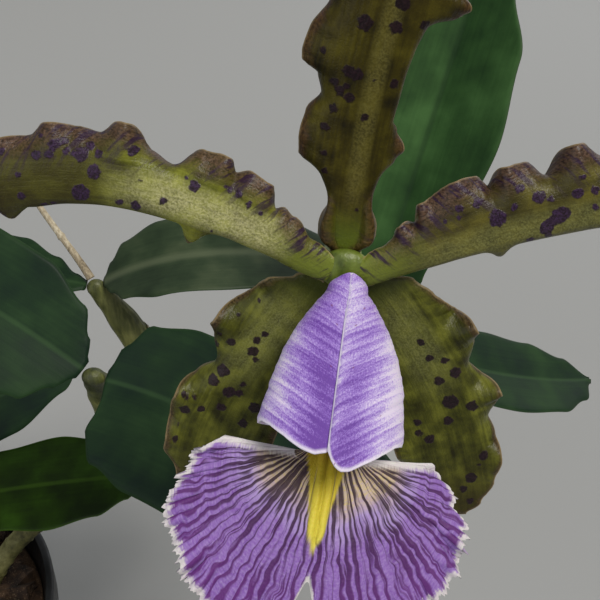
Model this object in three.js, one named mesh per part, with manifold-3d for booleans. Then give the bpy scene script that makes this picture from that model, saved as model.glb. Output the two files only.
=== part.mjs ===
// Potted cattleya schilleriana in flower, in millimetres, +Z up, the centre of the pot's base at the origin.
// The newer growths have crept over the pot's rim towards +X, and the one that is furthest out carries the
// flower, which faces -Y.
import * as THREE from 'three';
import { mergeVertices } from 'three/addons/utils/BufferGeometryUtils.js';
import Module from 'manifold-3d';

// Clearance left between one piece and the next.
const GAP = 0.35;

const POT = { height: 100, rim: 72, waist: 68, foot: 54, wall: 1.8, floor: 2.6, band: 13, sides: 40 };
const DRAIN = { count: 6, radius: 5, circle: 34 };
const MEDIUM = { bottom: 3, edge: 88, mound: 6, bump: 1.6 };

// The flower's own frame is right, up and out towards the viewer; it tilts back and leans right a little.
const FLOWER = { centre: [169.2, -91.5, 306.7], tiltBack: 3, lean: 7 };
const TEPAL_THICKNESS = 0.8;
const LIP_THICKNESS = 0.7;
const LEAF = { rib: 1.9, margin: 0.8 };
const BULB_SIDES = 10;

const radians = THREE.MathUtils.degToRad;
const vec = (list) => new THREE.Vector3(...list);

function finish(colour, roughness) {
  return new THREE.MeshStandardMaterial({ color: colour, roughness, metalness: 0 });
}

const FINISH = {
  pot: finish(0x17181a, 0.55),
  medium: finish(0x4a3424, 0.95),
  rhizome: finish(0x6b6a3a, 0.75),
  root: finish(0xb7b09a, 0.85),
  bulb: finish(0x7d8450, 0.6),
  sheath: finish(0xb5a98c, 0.9),
  leaf: finish(0x1f4a2c, 0.45),
  youngLeaf: finish(0x3f7a1f, 0.45),
  stem: finish(0x7b8a45, 0.6),
  tepal: finish(0x7d7a2e, 0.5),
  lip: finish(0xa58ad0, 0.6),
  column: finish(0xd8cfe0, 0.55),
};

// A smooth value read from [position, value] pairs.
function along(knots, t) {
  let i = 0;
  while (i < knots.length - 2 && t > knots[i + 1][0]) {
    i += 1;
  }
  const [t0, a] = knots[i];
  const [t1, b] = knots[i + 1];
  const s = THREE.MathUtils.clamp((t - t0) / (t1 - t0), 0, 1);
  return a + (b - a) * s * s * (3 - 2 * s);
}

// A cubic curve through its four control points' hull, with a side and a face direction at every place.
class Rib {
  constructor(points, face) {
    this.curve = new THREE.CubicBezierCurve3(...points);
    this.face = face.clone().normalize();
  }

  at(t) {
    const point = this.curve.getPoint(t);
    const run = this.curve.getTangent(t);
    const side = new THREE.Vector3().crossVectors(run, this.face).normalize();
    const face = new THREE.Vector3().crossVectors(side, run).normalize();
    return { point, run, side, face };
  }
}

function geometryFrom(corners, triangles) {
  const geometry = new THREE.BufferGeometry();
  const numbers = corners.flatMap((p) => p.toArray());
  geometry.setAttribute('position', new THREE.Float32BufferAttribute(numbers, 3));
  geometry.setIndex(triangles);
  return geometry;
}

// A sheet with thickness: the middle surface is given as rows of points, and both faces are cut alike.
function sheet(rows, thicknessAt) {
  const count = rows[0].length;
  const corners = [];
  for (const sign of [1, -1]) {
    rows.forEach((row, i) => {
      row.forEach((point, j) => {
        const back = rows[Math.max(i - 1, 0)][j];
        const ahead = rows[Math.min(i + 1, rows.length - 1)][j];
        const left = row[Math.max(j - 1, 0)];
        const right = row[Math.min(j + 1, count - 1)];
        const run = new THREE.Vector3().subVectors(ahead, back);
        const across = new THREE.Vector3().subVectors(right, left);
        const normal = across.cross(run).normalize();
        corners.push(point.clone().addScaledVector(normal, (sign * thicknessAt(i, j)) / 2));
      });
    });
  }
  const other = rows.length * count;
  const triangles = [];
  for (let i = 0; i < rows.length - 1; i += 1) {
    for (let j = 0; j < count - 1; j += 1) {
      const a = i * count + j;
      const b = a + 1;
      const c = a + count;
      const d = c + 1;
      triangles.push(a, b, d, a, d, c);
      triangles.push(other + a, other + d, other + b, other + a, other + c, other + d);
    }
  }
  const rim = [];
  for (let j = 0; j < count - 1; j += 1) {
    rim.push(j);
  }
  for (let i = 0; i < rows.length - 1; i += 1) {
    rim.push(i * count + count - 1);
  }
  for (let j = count - 1; j > 0; j -= 1) {
    rim.push((rows.length - 1) * count + j);
  }
  for (let i = rows.length - 1; i > 0; i -= 1) {
    rim.push(i * count);
  }
  rim.forEach((a, k) => {
    const b = rim[(k + 1) % rim.length];
    triangles.push(a, other + a, other + b, a, other + b, b);
  });
  return geometryFrom(corners, triangles);
}

// A body made of rings of points, closed at each end by one point or, when hollow, joined end to start.
function ringBody(rings, hollow = false) {
  const sides = Math.max(...rings.map((ring) => ring.length));
  const corners = [];
  const starts = rings.map((ring) => {
    const start = corners.length;
    corners.push(...ring);
    return start;
  });
  const triangles = [];
  const last = hollow ? rings.length : rings.length - 1;
  for (let i = 0; i < last; i += 1) {
    const k = (i + 1) % rings.length;
    for (let j = 0; j < sides; j += 1) {
      const n = (j + 1) % sides;
      const a = starts[i] + (rings[i].length > 1 ? j : 0);
      const b = starts[i] + (rings[i].length > 1 ? n : 0);
      const c = starts[k] + (rings[k].length > 1 ? j : 0);
      const d = starts[k] + (rings[k].length > 1 ? n : 0);
      if (a !== b) {
        triangles.push(a, b, d);
      }
      if (c !== d) {
        triangles.push(a, d, c);
      }
    }
  }
  return geometryFrom(corners, triangles);
}

// A round body along a rib. A profile entry is [place along the rib, radius, extra way beyond that place].
function turned(rib, profile, sides, flatness = 1) {
  const rings = profile.map(([t, radius, beyond = 0]) => {
    const { point, run, side, face } = rib.at(t);
    const middle = point.addScaledVector(run, beyond);
    if (radius === 0) {
      return [middle];
    }
    return Array.from({ length: sides }, (_, k) => {
      const angle = (2 * Math.PI * k) / sides;
      return middle.clone()
        .addScaledVector(side, radius * Math.cos(angle))
        .addScaledVector(face, -radius * flatness * Math.sin(angle));
    });
  });
  return ringBody(rings, profile[0][1] !== 0);
}

const wasm = await Module();
wasm.setup();

function solidFrom(geometry) {
  const clean = geometry.clone();
  clean.deleteAttribute('normal');
  clean.deleteAttribute('uv');
  const merged = mergeVertices(clean);
  return new wasm.Manifold(new wasm.Mesh({
    numProp: 3,
    vertProperties: new Float32Array(merged.attributes.position.array),
    triVerts: new Uint32Array(merged.index.array),
  }));
}

function geometryOf(solid) {
  const { vertProperties, triVerts } = solid.getMesh();
  const geometry = new THREE.BufferGeometry();
  geometry.setAttribute('position', new THREE.Float32BufferAttribute(vertProperties, 3));
  geometry.setIndex([...triVerts]);
  return geometry;
}

const plant = new THREE.Group();
plant.name = 'potted_cattleya_schilleriana';

function add(name, geometry, look) {
  const mesh = new THREE.Mesh(geometry, look);
  mesh.name = name;
  plant.add(mesh);
}

// The black pot: a tapered wall with a turned-out band at the rim and drain holes round the floor.
function upright(bottom, top, x = 0, y = 0) {
  const points = [0, 1 / 3, 2 / 3, 1].map((s) => new THREE.Vector3(x, y, bottom + (top - bottom) * s));
  return new Rib(points, new THREE.Vector3(0, -1, 0));
}

function boreAt([x, y, z], radius, length) {
  return turned(upright(z, z + length, x, y), [[0, 0], [0, radius], [1, radius], [1, 0]], 14);
}

const potInside = (z) => POT.foot - POT.wall + ((z - POT.floor) * (POT.rim - 1 - POT.foot)) / POT.height;

function buildPot() {
  const bandFoot = POT.height - POT.band;
  const h = POT.height;
  const profile = [
    [0, 0],
    [0, POT.foot - 1],
    [1 / h, POT.foot],
    [bandFoot / h, POT.waist],
    [(bandFoot + 0.6) / h, POT.rim],
    [(h - 0.7) / h, POT.rim],
    [1, POT.rim - 0.7],
    [1, potInside(h) + 0.4],
    [(h - 0.5) / h, potInside(h)],
    [POT.floor / h, potInside(POT.floor)],
    [POT.floor / h, 0],
  ];
  let pot = solidFrom(turned(upright(0, h), profile, POT.sides));
  for (let k = 0; k < DRAIN.count; k += 1) {
    const angle = (2 * Math.PI * k) / DRAIN.count;
    const place = [DRAIN.circle * Math.cos(angle), DRAIN.circle * Math.sin(angle), -1];
    pot = pot.subtract(solidFrom(boreAt(place, DRAIN.radius, POT.floor + 2)));
  }
  return geometryOf(pot);
}

// Growths: where each pseudobulb starts, bends and ends, and its greatest radius.
const GROWTHS = {
  a: { foot: [119.6, 22.2, 145.4], bend: [141.6, 16.2, 180], apex: [181.3, -11.3, 234.3], radius: 6.4 },
  b: { foot: [93.6, 42.7, 135.3], bend: [103.6, 24.2, 178], apex: [107.6, -16.8, 226], radius: 6.2 },
  d: { foot: [117.6, 50.7, 138.2], bend: [113.6, 52.2, 178], apex: [94.9, 46.2, 213], radius: 6 },
  f: { foot: [7.6, -2.8, 92], bend: [5.6, 0.2, 112], apex: [7.6, 6.2, 136], radius: 4.8 },
  g: { foot: [-8, 46, 91], bend: [-8, 54, 131], apex: [-24, 60, 178], radius: 6.2 },
  h: { foot: [-26, -10, 92], bend: [-30, -6, 128], apex: [-44, -18, 168], radius: 5.8 },
};
const APEX_RADIUS = 3.2;
const FOOT_RADIUS = 3.2;

function bulbRib({ foot, bend, apex }) {
  const [a, b, c] = [foot, bend, apex].map(vec);
  const first = a.clone().lerp(b, 0.67);
  const second = c.clone().lerp(b, 0.67);
  return new Rib([a, first, second, c], new THREE.Vector3(0, -1, 0.1));
}

// A pseudobulb: spindle-shaped, a little flattened, ringed at its joints and domed where the leaves stand.
function buildBulb(growth) {
  const r = growth.radius;
  const dome = (t, radius, way) => [[t, radius * 0.72, way * radius * 0.72], [t, radius, 0]];
  const profile = [
    [0, 0, -FOOT_RADIUS],
    ...dome(0, FOOT_RADIUS, -1),
    [0.14, r * 0.72],
    [0.27, r * 0.86],
    [0.29, r * 0.8],
    [0.45, r * 0.97],
    [0.6, r],
    [0.62, r * 0.93],
    [0.78, r * 0.88],
    [0.92, r * 0.66],
    ...dome(1, APEX_RADIUS, 1).reverse(),
    [1, 0, APEX_RADIUS],
  ];
  return turned(bulbRib(growth), profile, BULB_SIDES, 0.82);
}

// Leaves: two on every growth. A leaf leaves its apex along start, passes near by and ends at tip.
// Their outlines give the half width, from foot to tip, as a share of the greatest.
const LEAF_TIP = [[0.7, 0.9], [0.88, 0.58], [1, 0.07]];
const EARED = [[0, 0.13], [0.03, 0.5], [0.09, 0.86], [0.22, 1], [0.45, 1], ...LEAF_TIP];
const BROAD = [[0, 0.13], [0.04, 0.4], [0.1, 0.72], [0.25, 0.97], [0.45, 1], ...LEAF_TIP];
const OVAL = [[0, 0.13], [0.05, 0.24], [0.15, 0.55], [0.32, 0.88], [0.52, 1], ...LEAF_TIP];
const LATE = [[0, 0.15], [0.1, 0.3], [0.3, 0.6], [0.5, 0.88], [0.68, 1], [0.85, 0.8], [0.94, 0.5],
  [1, 0.07]];
const LEAVES = [
  {
    name: 'leaf_b_left', growth: 'b',
    start: [-0.78, 0.28, 0.52], by: [53.6, 1.2, 256], tip: [21.6, 13.2, 259],
    half: 19.5, otherHalf: 22.5, keel: 7, face: [0.37, -0.78, 0.51], outline: BROAD,
  },
  {
    name: 'leaf_b_right', growth: 'b',
    start: [0.9, -0.2, -0.1], by: [163.6, -48.8, 218], tip: [193.6, -58.8, 212],
    half: 26, otherHalf: 20, ear: 6.5, keel: 8, face: [0.06, -0.74, 0.67], outline: EARED,
  },
  {
    name: 'leaf_a_up', growth: 'a',
    start: [0.2, 0.5, 0.84], by: [202.6, 22.2, 296], tip: [210.6, 36.2, 326],
    half: 22, otherHalf: 20, keel: 26, face: [-0.35, -0.85, 0.35], outline: OVAL,
  },
  {
    name: 'leaf_a_right', growth: 'a',
    start: [0.82, 0.22, -0.5], by: [232, 6, 204], tip: [256, 22, 193],
    half: 14.5, keel: 10, face: [0.1, -0.3, 0.95], outline: OVAL,
  },
  {
    name: 'leaf_d_right', growth: 'd',
    start: [0.85, 0, 0.52], by: [153.6, 52.2, 224], tip: [183.6, 54.2, 217],
    half: 18, keel: 8, face: [0, -0.25, 0.97], outline: BROAD,
  },
  {
    name: 'leaf_d_left', growth: 'd',
    start: [-0.98, 0.1, 0.15], by: [41.6, 58.2, 216], tip: [5.6, 60.2, 204],
    half: 17, keel: 8, face: [0, -0.25, 0.97], outline: OVAL,
  },
  {
    name: 'leaf_f_right', growth: 'f',
    start: [0.85, 0.25, 0.3], by: [79.6, 11.2, 157], tip: [115.6, 0.2, 173],
    half: 16, keel: 6, face: [-0.2, -0.45, 0.87], outline: LATE, young: true,
  },
  {
    name: 'leaf_f_back', growth: 'f',
    start: [-0.25, 0.8, 0.55], by: [55.6, 34.2, 168], tip: [84.6, 52.2, 182],
    half: 16, keel: 6, face: [0.2, -0.8, 0.56], outline: OVAL,
  },
  {
    name: 'leaf_g_left', growth: 'g',
    start: [-0.9, 0.1, 0.4], by: [-84, 86, 212], tip: [-116, 98, 204],
    half: 18, keel: 8, face: [0.2, -0.4, 0.9], outline: OVAL,
  },
  {
    name: 'leaf_g_back', growth: 'g',
    start: [0.35, 0.85, 0.4], by: [-14, 124, 226], tip: [-12, 154, 232],
    half: 18, keel: 8, face: [0.1, -0.5, 0.86], outline: OVAL,
  },
  {
    name: 'leaf_h_left', growth: 'h',
    start: [-0.9, -0.05, 0.4], by: [-104, -42, 196], tip: [-134, -54, 182],
    half: 17, keel: 8, face: [0.1, 0.1, 0.99], outline: OVAL,
  },
  {
    name: 'leaf_h_front', growth: 'h',
    start: [0.15, -0.9, 0.4], by: [-30, -86, 194], tip: [-24, -114, 182],
    half: 17, keel: 8, face: [0.1, 0.2, 0.97], outline: OVAL,
  },
];
const LEAF_ROWS = [0, 0.03, 0.06, 0.11, 0.18, 0.28, 0.4, 0.52, 0.64, 0.75, 0.84, 0.91, 0.96, 1];
const LEAF_COLUMNS = [-1, -0.55, 0, 0.55, 1];

function buildLeaf(leaf) {
  const { growth, start, by, tip, half, otherHalf = half, ear = 0, keel, face, outline } = leaf;
  const apex = vec(GROWTHS[growth].apex);
  const run = vec(start).normalize();
  const foot = apex.clone().addScaledVector(run, APEX_RADIUS + GAP);
  const reach = foot.distanceTo(vec(tip)) / 3;
  const rib = new Rib([foot, foot.clone().addScaledVector(run, reach), vec(by), vec(tip)], vec(face));
  const fold = radians(keel);
  const rows = LEAF_ROWS.map((t) => {
    const frame = rib.at(t);
    const spread = along(outline, t);
    const drawnBack = ear * THREE.MathUtils.smoothstep(t, 0, 0.05) * Math.pow(1 - t, 5);
    return LEAF_COLUMNS.map((q) => {
      const width = spread * (q < 0 ? otherHalf : half);
      return frame.point.clone()
        .addScaledVector(frame.side, width * q * Math.cos(fold))
        .addScaledVector(frame.face, width * Math.abs(q) * Math.sin(fold))
        .addScaledVector(frame.run, -drawnBack * Math.max(q, 0));
    });
  });
  const thickness = (i, j) => {
    const q = Math.abs(LEAF_COLUMNS[j]);
    return LEAF.rib + (LEAF.margin - LEAF.rib) * Math.pow(q, 1.4);
  };
  return sheet(rows, thickness);
}

// The creeping rhizome: out of the medium, over the rim, then forked to growths A and D.
const RHIZOME_RADIUS = 4;
const FORK = [87.6, 43.2, 125.4];
const RHIZOME_RUNS = [
  { points: [[39.6, 19.2, 82], [47.6, 25.2, 113], [69.6, 39.2, 120], [95.6, 44.2, 127]], ends: [3.6, 3.8] },
  { points: [FORK, [99.6, 40.2, 131], [111.6, 32.2, 135], [121.6, 20.7, 138.4]], ends: [3.4, 3.4] },
  { points: [FORK, [97.6, 45.2, 129], [107.6, 49.2, 131], [120.6, 51.2, 131.2]], ends: [3.4, 3.4] },
];

function buildRhizome() {
  const parts = RHIZOME_RUNS.map(({ points, ends }) => {
    const rib = new Rib(points.map(vec), new THREE.Vector3(0, -1, 0.2));
    const profile = [[0, 0, -1.6], [0, ends[0] * 0.8, -0.8], [0, ends[0]]];
    for (let t = 0.125; t < 1; t += 0.125) {
      profile.push([t, RHIZOME_RADIUS * (1 - 0.06 * (Math.round(t * 8) % 2))]);
    }
    profile.push([1, ends[1]], [1, ends[1] * 0.75, 1.6], [1, 0, 2.4]);
    return solidFrom(turned(rib, profile, 10));
  });
  return geometryOf(parts.reduce((whole, part) => whole.add(part)));
}

// Roots: some arch over the medium from hole to hole, two hang free behind the rhizome.
const ROOT_RADIUS = 1.3;
const SOIL_ROOTS = [
  [[44, 8, 88], [44, 8, 114], [28, 22, 114], [28, 22, 91]],
  [[20, -20, 90], [20, -20, 116], [42, -34, 112], [42, -34, 88]],
  [[-30, 32, 89], [-30, 32, 112], [-44, 8, 112], [-44, 8, 88]],
];
const AIR_ROOTS = [
  [[108.6, 50.7, 126.1], [113.6, 58.2, 114], [111.6, 66.2, 100], [119.6, 70.2, 84]],
  [[102.6, 47.7, 124.6], [103.6, 59.2, 112], [115.6, 71.2, 104], [129.6, 78.2, 90]],
];

function buildRoot(points) {
  const rib = new Rib(points.map(vec), new THREE.Vector3(0.3, -0.9, 0.3));
  const profile = [[0, 0], [0, ROOT_RADIUS]];
  for (let t = 0.125; t < 1; t += 0.125) {
    profile.push([t, ROOT_RADIUS]);
  }
  profile.push([1, ROOT_RADIUS * 0.7], [1, 0, 0.8]);
  return turned(rib, profile, 7);
}

// The bark medium: a low rough mound that fills the pot, with a plain hole for every stem in it.
function buildMedium() {
  const sides = POT.sides;
  const reach = potInside(MEDIUM.edge) - GAP;
  const noise = (k, ring) => Math.sin(k * 2.4 + ring * 1.7) * 0.6 + Math.sin(k * 5.1 + ring * 3.1) * 0.4;
  const ringAt = (radius, height, ring, bump) => Array.from({ length: sides }, (_, k) => {
    const angle = (2 * Math.PI * k) / sides;
    const z = height + bump * noise(k, ring);
    return new THREE.Vector3(radius * Math.cos(angle), radius * Math.sin(angle), z);
  });
  const rings = [
    [new THREE.Vector3(0, 0, MEDIUM.bottom)],
    ringAt(potInside(MEDIUM.bottom) - GAP, MEDIUM.bottom, 0, 0),
    ringAt(reach, MEDIUM.edge, 0, 0),
  ];
  for (const share of [0.86, 0.68, 0.46, 0.22]) {
    const height = MEDIUM.edge + MEDIUM.mound * (1 - share * share);
    rings.push(ringAt(reach * share, height, share * 10, MEDIUM.bump));
  }
  rings.push([new THREE.Vector3(0, 0, MEDIUM.edge + MEDIUM.mound)]);
  let medium = solidFrom(ringBody(rings));
  const bore = ([x, y, z], radius, below) => {
    medium = medium.subtract(solidFrom(boreAt([x, y, z - below - GAP], radius + GAP, 40)));
  };
  for (const name of ['f', 'g', 'h']) {
    bore(GROWTHS[name].foot, FOOT_RADIUS + 0.9, FOOT_RADIUS);
  }
  bore([41.4, 20.5, 82], RHIZOME_RADIUS + 2.4, 2);
  for (const points of SOIL_ROOTS) {
    bore(points[0], ROOT_RADIUS + 0.5, 0);
    bore(points[3], ROOT_RADIUS + 0.5, 1);
  }
  return geometryOf(medium);
}

// Flower frame.
const back = radians(FLOWER.tiltBack);
const lean = radians(FLOWER.lean);
const OUT = new THREE.Vector3(0, -Math.cos(back), Math.sin(back));
const risen = new THREE.Vector3(0, Math.sin(back), Math.cos(back));
const UP = risen.clone().multiplyScalar(Math.cos(lean)).add(new THREE.Vector3(Math.sin(lean), 0, 0));
const RIGHT = new THREE.Vector3(Math.cos(lean), 0, 0).addScaledVector(risen, -Math.sin(lean));

function inFlower([right, up, out]) {
  return vec(FLOWER.centre)
    .addScaledVector(RIGHT, right)
    .addScaledVector(UP, up)
    .addScaledVector(OUT, out);
}

// The stem rises from growth A inside a papery sheath and ends in the ovary behind the flower.
const STEM_START = [-0.15, -0.35, 0.92];
const STEM_REACH = 48;

function stemRib() {
  const run = vec(STEM_START).normalize();
  const foot = vec(GROWTHS.a.apex).addScaledVector(run, APEX_RADIUS + GAP);
  const bend = foot.clone().addScaledVector(run, STEM_REACH);
  const points = [foot, bend, inFlower([0, -2, -30]), inFlower([0, 0, -3.4])];
  return new Rib(points, new THREE.Vector3(1, -0.2, 0));
}

function buildStem() {
  const profile = [[0, 0], [0, 1.8], [0.05, 1.75], [0.1, 1.7], [0.15, 1.7], [0.19, 1.65], [0.3, 1.65],
    [0.45, 1.65], [0.5, 2.2], [0.53, 1.7], [0.66, 1.9], [0.78, 2.2], [0.88, 2.6], [0.96, 2.9], [1, 2.7],
    [1, 1.1, 0.1], [1, 1.1, 1.6], [1, 0, 1.7]];
  return turned(stemRib(), profile, 10);
}

function buildSheath() {
  const outside = [[0.002, 2.8], [0.05, 2.8], [0.1, 2.8], [0.15, 2.75], [0.19, 2.7]];
  const inside = outside.map(([t, radius]) => [t, radius - 0.65]).reverse();
  return turned(stemRib(), [...outside, ...inside], 10);
}

// An older flower stalk, dry and empty, left standing on growth D.
function buildOldStalk() {
  const run = vec([-0.5, 0.38, 0.78]).normalize();
  const foot = vec(GROWTHS.d.apex).addScaledVector(run, APEX_RADIUS + GAP);
  const bend = foot.clone().addScaledVector(run, 12);
  const rib = new Rib([foot, bend, vec([77.6, 59.2, 232]), vec([70.6, 65.2, 244])], vec([0, -1, 0.2]));
  const profile = [[0, 0], [0, 1.5], [0.2, 1.35], [0.42, 1.2], [0.45, 1.5], [0.5, 1.2], [0.8, 1.1],
    [1, 0.9], [1, 0]];
  return turned(rib, profile, 8);
}

// A fresh shoot at the front end of the rhizome.
function buildShoot() {
  const points = [[123.5, 18.5, 139], [126.6, 14.8, 140.4], [129.6, 13.2, 147], [132.6, 11.2, 159]];
  const rib = new Rib(points.map(vec), vec([0, -1, 0.2]));
  const profile = [[0, 0], [0, 2.2], [0.2, 3.1], [0.45, 3], [0.7, 2.3], [0.9, 1.1], [1, 0.4], [1, 0, 0.4]];
  return turned(rib, profile, 8);
}

// The three sepals and two petals. rib is the midline in the flower's frame; side a lies left of a tepal
// that points up, and side b at its right.
// wide: half width in mm; open: 1 where the margin lies flat, 0 where it is rolled behind.
const PLAIN_END = [[0.9, 0.9], [1, 1]];
const TEPALS = [
  {
    name: 'dorsal_sepal', rib: [[-0.1, 1.9, -2.2], [-1.6, 18, -2.4], [-0.6, 33, -3], [2.4, 50, -4]],
    roll: 140, arch: 20, flat: 0.3,
    a: {
      wide: [[0, 2.2], [0.06, 4.3], [0.17, 4.6], [0.3, 8.6], [0.45, 8.6], [0.6, 10.2], [0.7, 9.6],
        [0.85, 8], [0.95, 5.5], [1, 1.6]],
      open: [[0, 1], [0.08, 0.9], [0.17, 0.25], [0.24, 0.2], [0.3, 0.85], [0.36, 0.95], [0.42, 0.8],
        [0.48, 0.4], [0.53, 0.5], [0.57, 0.95], [0.65, 0.9], [0.72, 0.6], [0.8, 0.9], [0.87, 0.5],
        [0.93, 0.9], [1, 1]],
    },
    b: {
      wide: [[0, 2.2], [0.06, 4.4], [0.17, 4.6], [0.3, 6.8], [0.4, 7], [0.55, 7.5], [0.7, 8.5],
        [0.79, 11], [0.85, 9], [0.95, 5.5], [1, 1.6]],
      open: [[0, 1], [0.08, 0.95], [0.17, 0.3], [0.25, 0.1], [0.31, 0.7], [0.35, 0.95], [0.4, 0.5],
        [0.44, 0], [0.65, 0], [0.72, 0.3], [0.77, 0.85], [0.8, 1], [0.84, 0.7], [0.9, 0.4], [0.95, 0.9],
        [1, 1]],
    },
  },
  {
    name: 'petal_left', rib: [[-2, 0, 0.7], [-17, 6.5, 1.5], [-30, 13.5, 1], [-54, 6.5, -1]],
    roll: 150, arch: 25, flat: 0.12,
    a: {
      wide: [[0, 2.2], [0.1, 3.4], [0.3, 5], [0.45, 6.4], [0.7, 6.5], [0.85, 7.2], [0.95, 6.8], [1, 1.6]],
      open: [[0, 1], [0.1, 0.7], [0.25, 0.2], [0.36, 0.1], [0.44, 0.95], [0.5, 0.2], [0.7, 0.05],
        [0.8, 0.1], [0.9, 0.5], [0.97, 0.95], [1, 1]],
    },
    b: {
      wide: [[0, 2.2], [0.1, 3.6], [0.18, 5.2], [0.27, 7.6], [0.42, 8.8], [0.6, 8.8], [0.68, 9.6],
        [0.84, 8.6], [0.95, 6.6], [1, 1.6]],
      open: [[0, 1], [0.1, 0.6], [0.16, 0.75], [0.21, 0.7], [0.24, 0.3], [0.29, 0.95], [0.34, 0.9],
        [0.385, 0.55], [0.42, 0.95], [0.48, 0.8], [0.55, 0.12], [0.61, 0.4], [0.67, 1], [0.735, 0.55],
        [0.78, 0.7], [0.83, 0.95], [0.88, 0.6], [0.94, 0.9], [1, 1]],
    },
  },
  {
    name: 'petal_right', rib: [[2.1, -0.2, 0.7], [15, 6.5, 1.5], [27, 14.5, 1], [52, 18.5, -1]],
    roll: 150, arch: 25, flat: 0.12,
    a: {
      wide: [[0, 2.2], [0.1, 3.6], [0.17, 5.4], [0.27, 7.8], [0.38, 9.2], [0.52, 9.2], [0.7, 10],
        [0.85, 8.8], [0.95, 6.6], [1, 1.6]],
      open: [[0, 1], [0.1, 0.6], [0.15, 0.5], [0.185, 0.95], [0.235, 0.4], [0.265, 0.95], [0.3, 0.85],
        [0.385, 1], [0.44, 0.8], [0.47, 0.45], [0.52, 0.95], [0.57, 0.8], [0.625, 0.3], [0.69, 1],
        [0.76, 0.5], [0.83, 0.95], [0.89, 0.5], [0.95, 0.9], [1, 1]],
    },
    b: {
      wide: [[0, 2.2], [0.1, 3.2], [0.3, 5], [0.45, 6], [0.7, 6.8], [0.85, 7.2], [0.95, 6], [1, 1.6]],
      open: [[0, 1], [0.1, 0.6], [0.3, 0.1], [0.4, 0], [0.46, 0.75], [0.52, 0.05], [0.7, 0.1],
        [0.85, 0.4], [0.93, 0.85], [1, 1]],
    },
  },
  {
    name: 'lateral_sepal_left', rib: [[-1.9, -2.5, -2.4], [-9, -15, -0.8], [-18, -28, 0.6], [-17, -43, 2]],
    roll: 140, arch: -8, flat: 0.3,
    a: {
      wide: [[0, 1.7], [0.1, 2.8], [0.3, 6.2], [0.5, 8.3], [0.72, 8.9], [0.85, 8], [0.95, 5.5], [1, 1.6]],
      open: [[0, 1], [0.3, 0.8], [0.5, 0.7], [0.72, 1], [0.8, 0.8], ...PLAIN_END],
    },
    b: {
      wide: [[0, 1.9], [0.06, 4.6], [0.13, 7.8], [0.35, 10.4], [0.5, 8.2], [0.65, 9.4], [0.85, 8.2],
        [0.95, 5.5], [1, 1.6]],
      open: [[0, 1], [0.13, 0.95], [0.2, 0.6], [0.27, 0.7], [0.35, 1], [0.42, 0.5], [0.5, 0.1],
        [0.57, 0.45], [0.65, 1], [0.73, 0.75], [0.82, 1], [0.9, 0.8], [1, 1]],
    },
  },
  {
    name: 'lateral_sepal_right', rib: [[1.9, -2.5, -2.4], [11, -12, -0.8], [22, -24, 0.6], [26, -44, 2]],
    roll: 140, arch: -8, flat: 0.3,
    a: {
      wide: [[0, 1.9], [0.06, 5.4], [0.12, 7.6], [0.2, 8.8], [0.38, 11.6], [0.52, 9.8], [0.61, 10.9],
        [0.72, 9], [0.82, 8.3], [0.9, 6.6], [0.96, 4.2], [1, 1.6]],
      open: [[0, 1], [0.2, 0.95], [0.27, 0.7], [0.32, 0.6], [0.38, 1], [0.44, 0.6], [0.51, 0.35],
        [0.56, 0.5], [0.61, 1], [0.64, 0.7], [0.7, 0.45], [0.76, 0.6], [0.82, 1], ...PLAIN_END],
    },
    b: {
      wide: [[0, 1.7], [0.1, 2.8], [0.3, 6.2], [0.5, 8.2], [0.72, 8.7], [0.85, 7.5], [0.95, 5], [1, 1.6]],
      open: [[0, 1], [0.3, 0.8], [0.5, 0.7], [0.72, 1], [0.8, 0.8], ...PLAIN_END],
    },
  },
];
const TEPAL_COLUMNS = 5;
const ROW_SPACING = 0.05;

// The way across one half of a tepal, from the midline to q of its half width.
function halfSection({ roll, arch, flat }, width, open, q) {
  const steps = 12;
  let across = 0;
  let behind = 0;
  for (let k = 0; k < steps; k += 1) {
    const s = (q * (k + 0.5)) / steps;
    const edge = THREE.MathUtils.smoothstep(s, flat, 1);
    const angle = radians(arch * s + roll * (1 - open) * edge);
    across += (Math.cos(angle) * q * width) / steps;
    behind += (Math.sin(angle) * q * width) / steps;
  }
  return [across, behind];
}

function rowPlaces(tepal) {
  const places = new Set([0, 0.03]);
  for (const side of [tepal.a, tepal.b]) {
    side.open.forEach(([t]) => places.add(t));
  }
  const sorted = [...places].sort((p, q) => p - q);
  const kept = [sorted[0]];
  for (const t of sorted.slice(1)) {
    const last = kept[kept.length - 1];
    if (t - last > 2 * ROW_SPACING) {
      kept.push((t + last) / 2);
    }
    if (t - kept[kept.length - 1] > 0.018 || t === 1) {
      kept.push(t);
    }
  }
  return kept;
}

function buildTepal(tepal) {
  const rib = new Rib(tepal.rib.map(inFlower), OUT);
  const rows = rowPlaces(tepal).map((t) => {
    const frame = rib.at(t);
    const row = [];
    for (let j = -TEPAL_COLUMNS; j <= TEPAL_COLUMNS; j += 1) {
      const half = j < 0 ? tepal.a : tepal.b;
      const q = Math.abs(j) / TEPAL_COLUMNS;
      const [across, behind] = halfSection(tepal, along(half.wide, t), along(half.open, t), q);
      row.push(frame.point.clone()
        .addScaledVector(frame.side, Math.sign(j) * across)
        .addScaledVector(frame.face, -behind));
    }
    return row;
  });
  return sheet(rows, () => TEPAL_THICKNESS);
}

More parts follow.
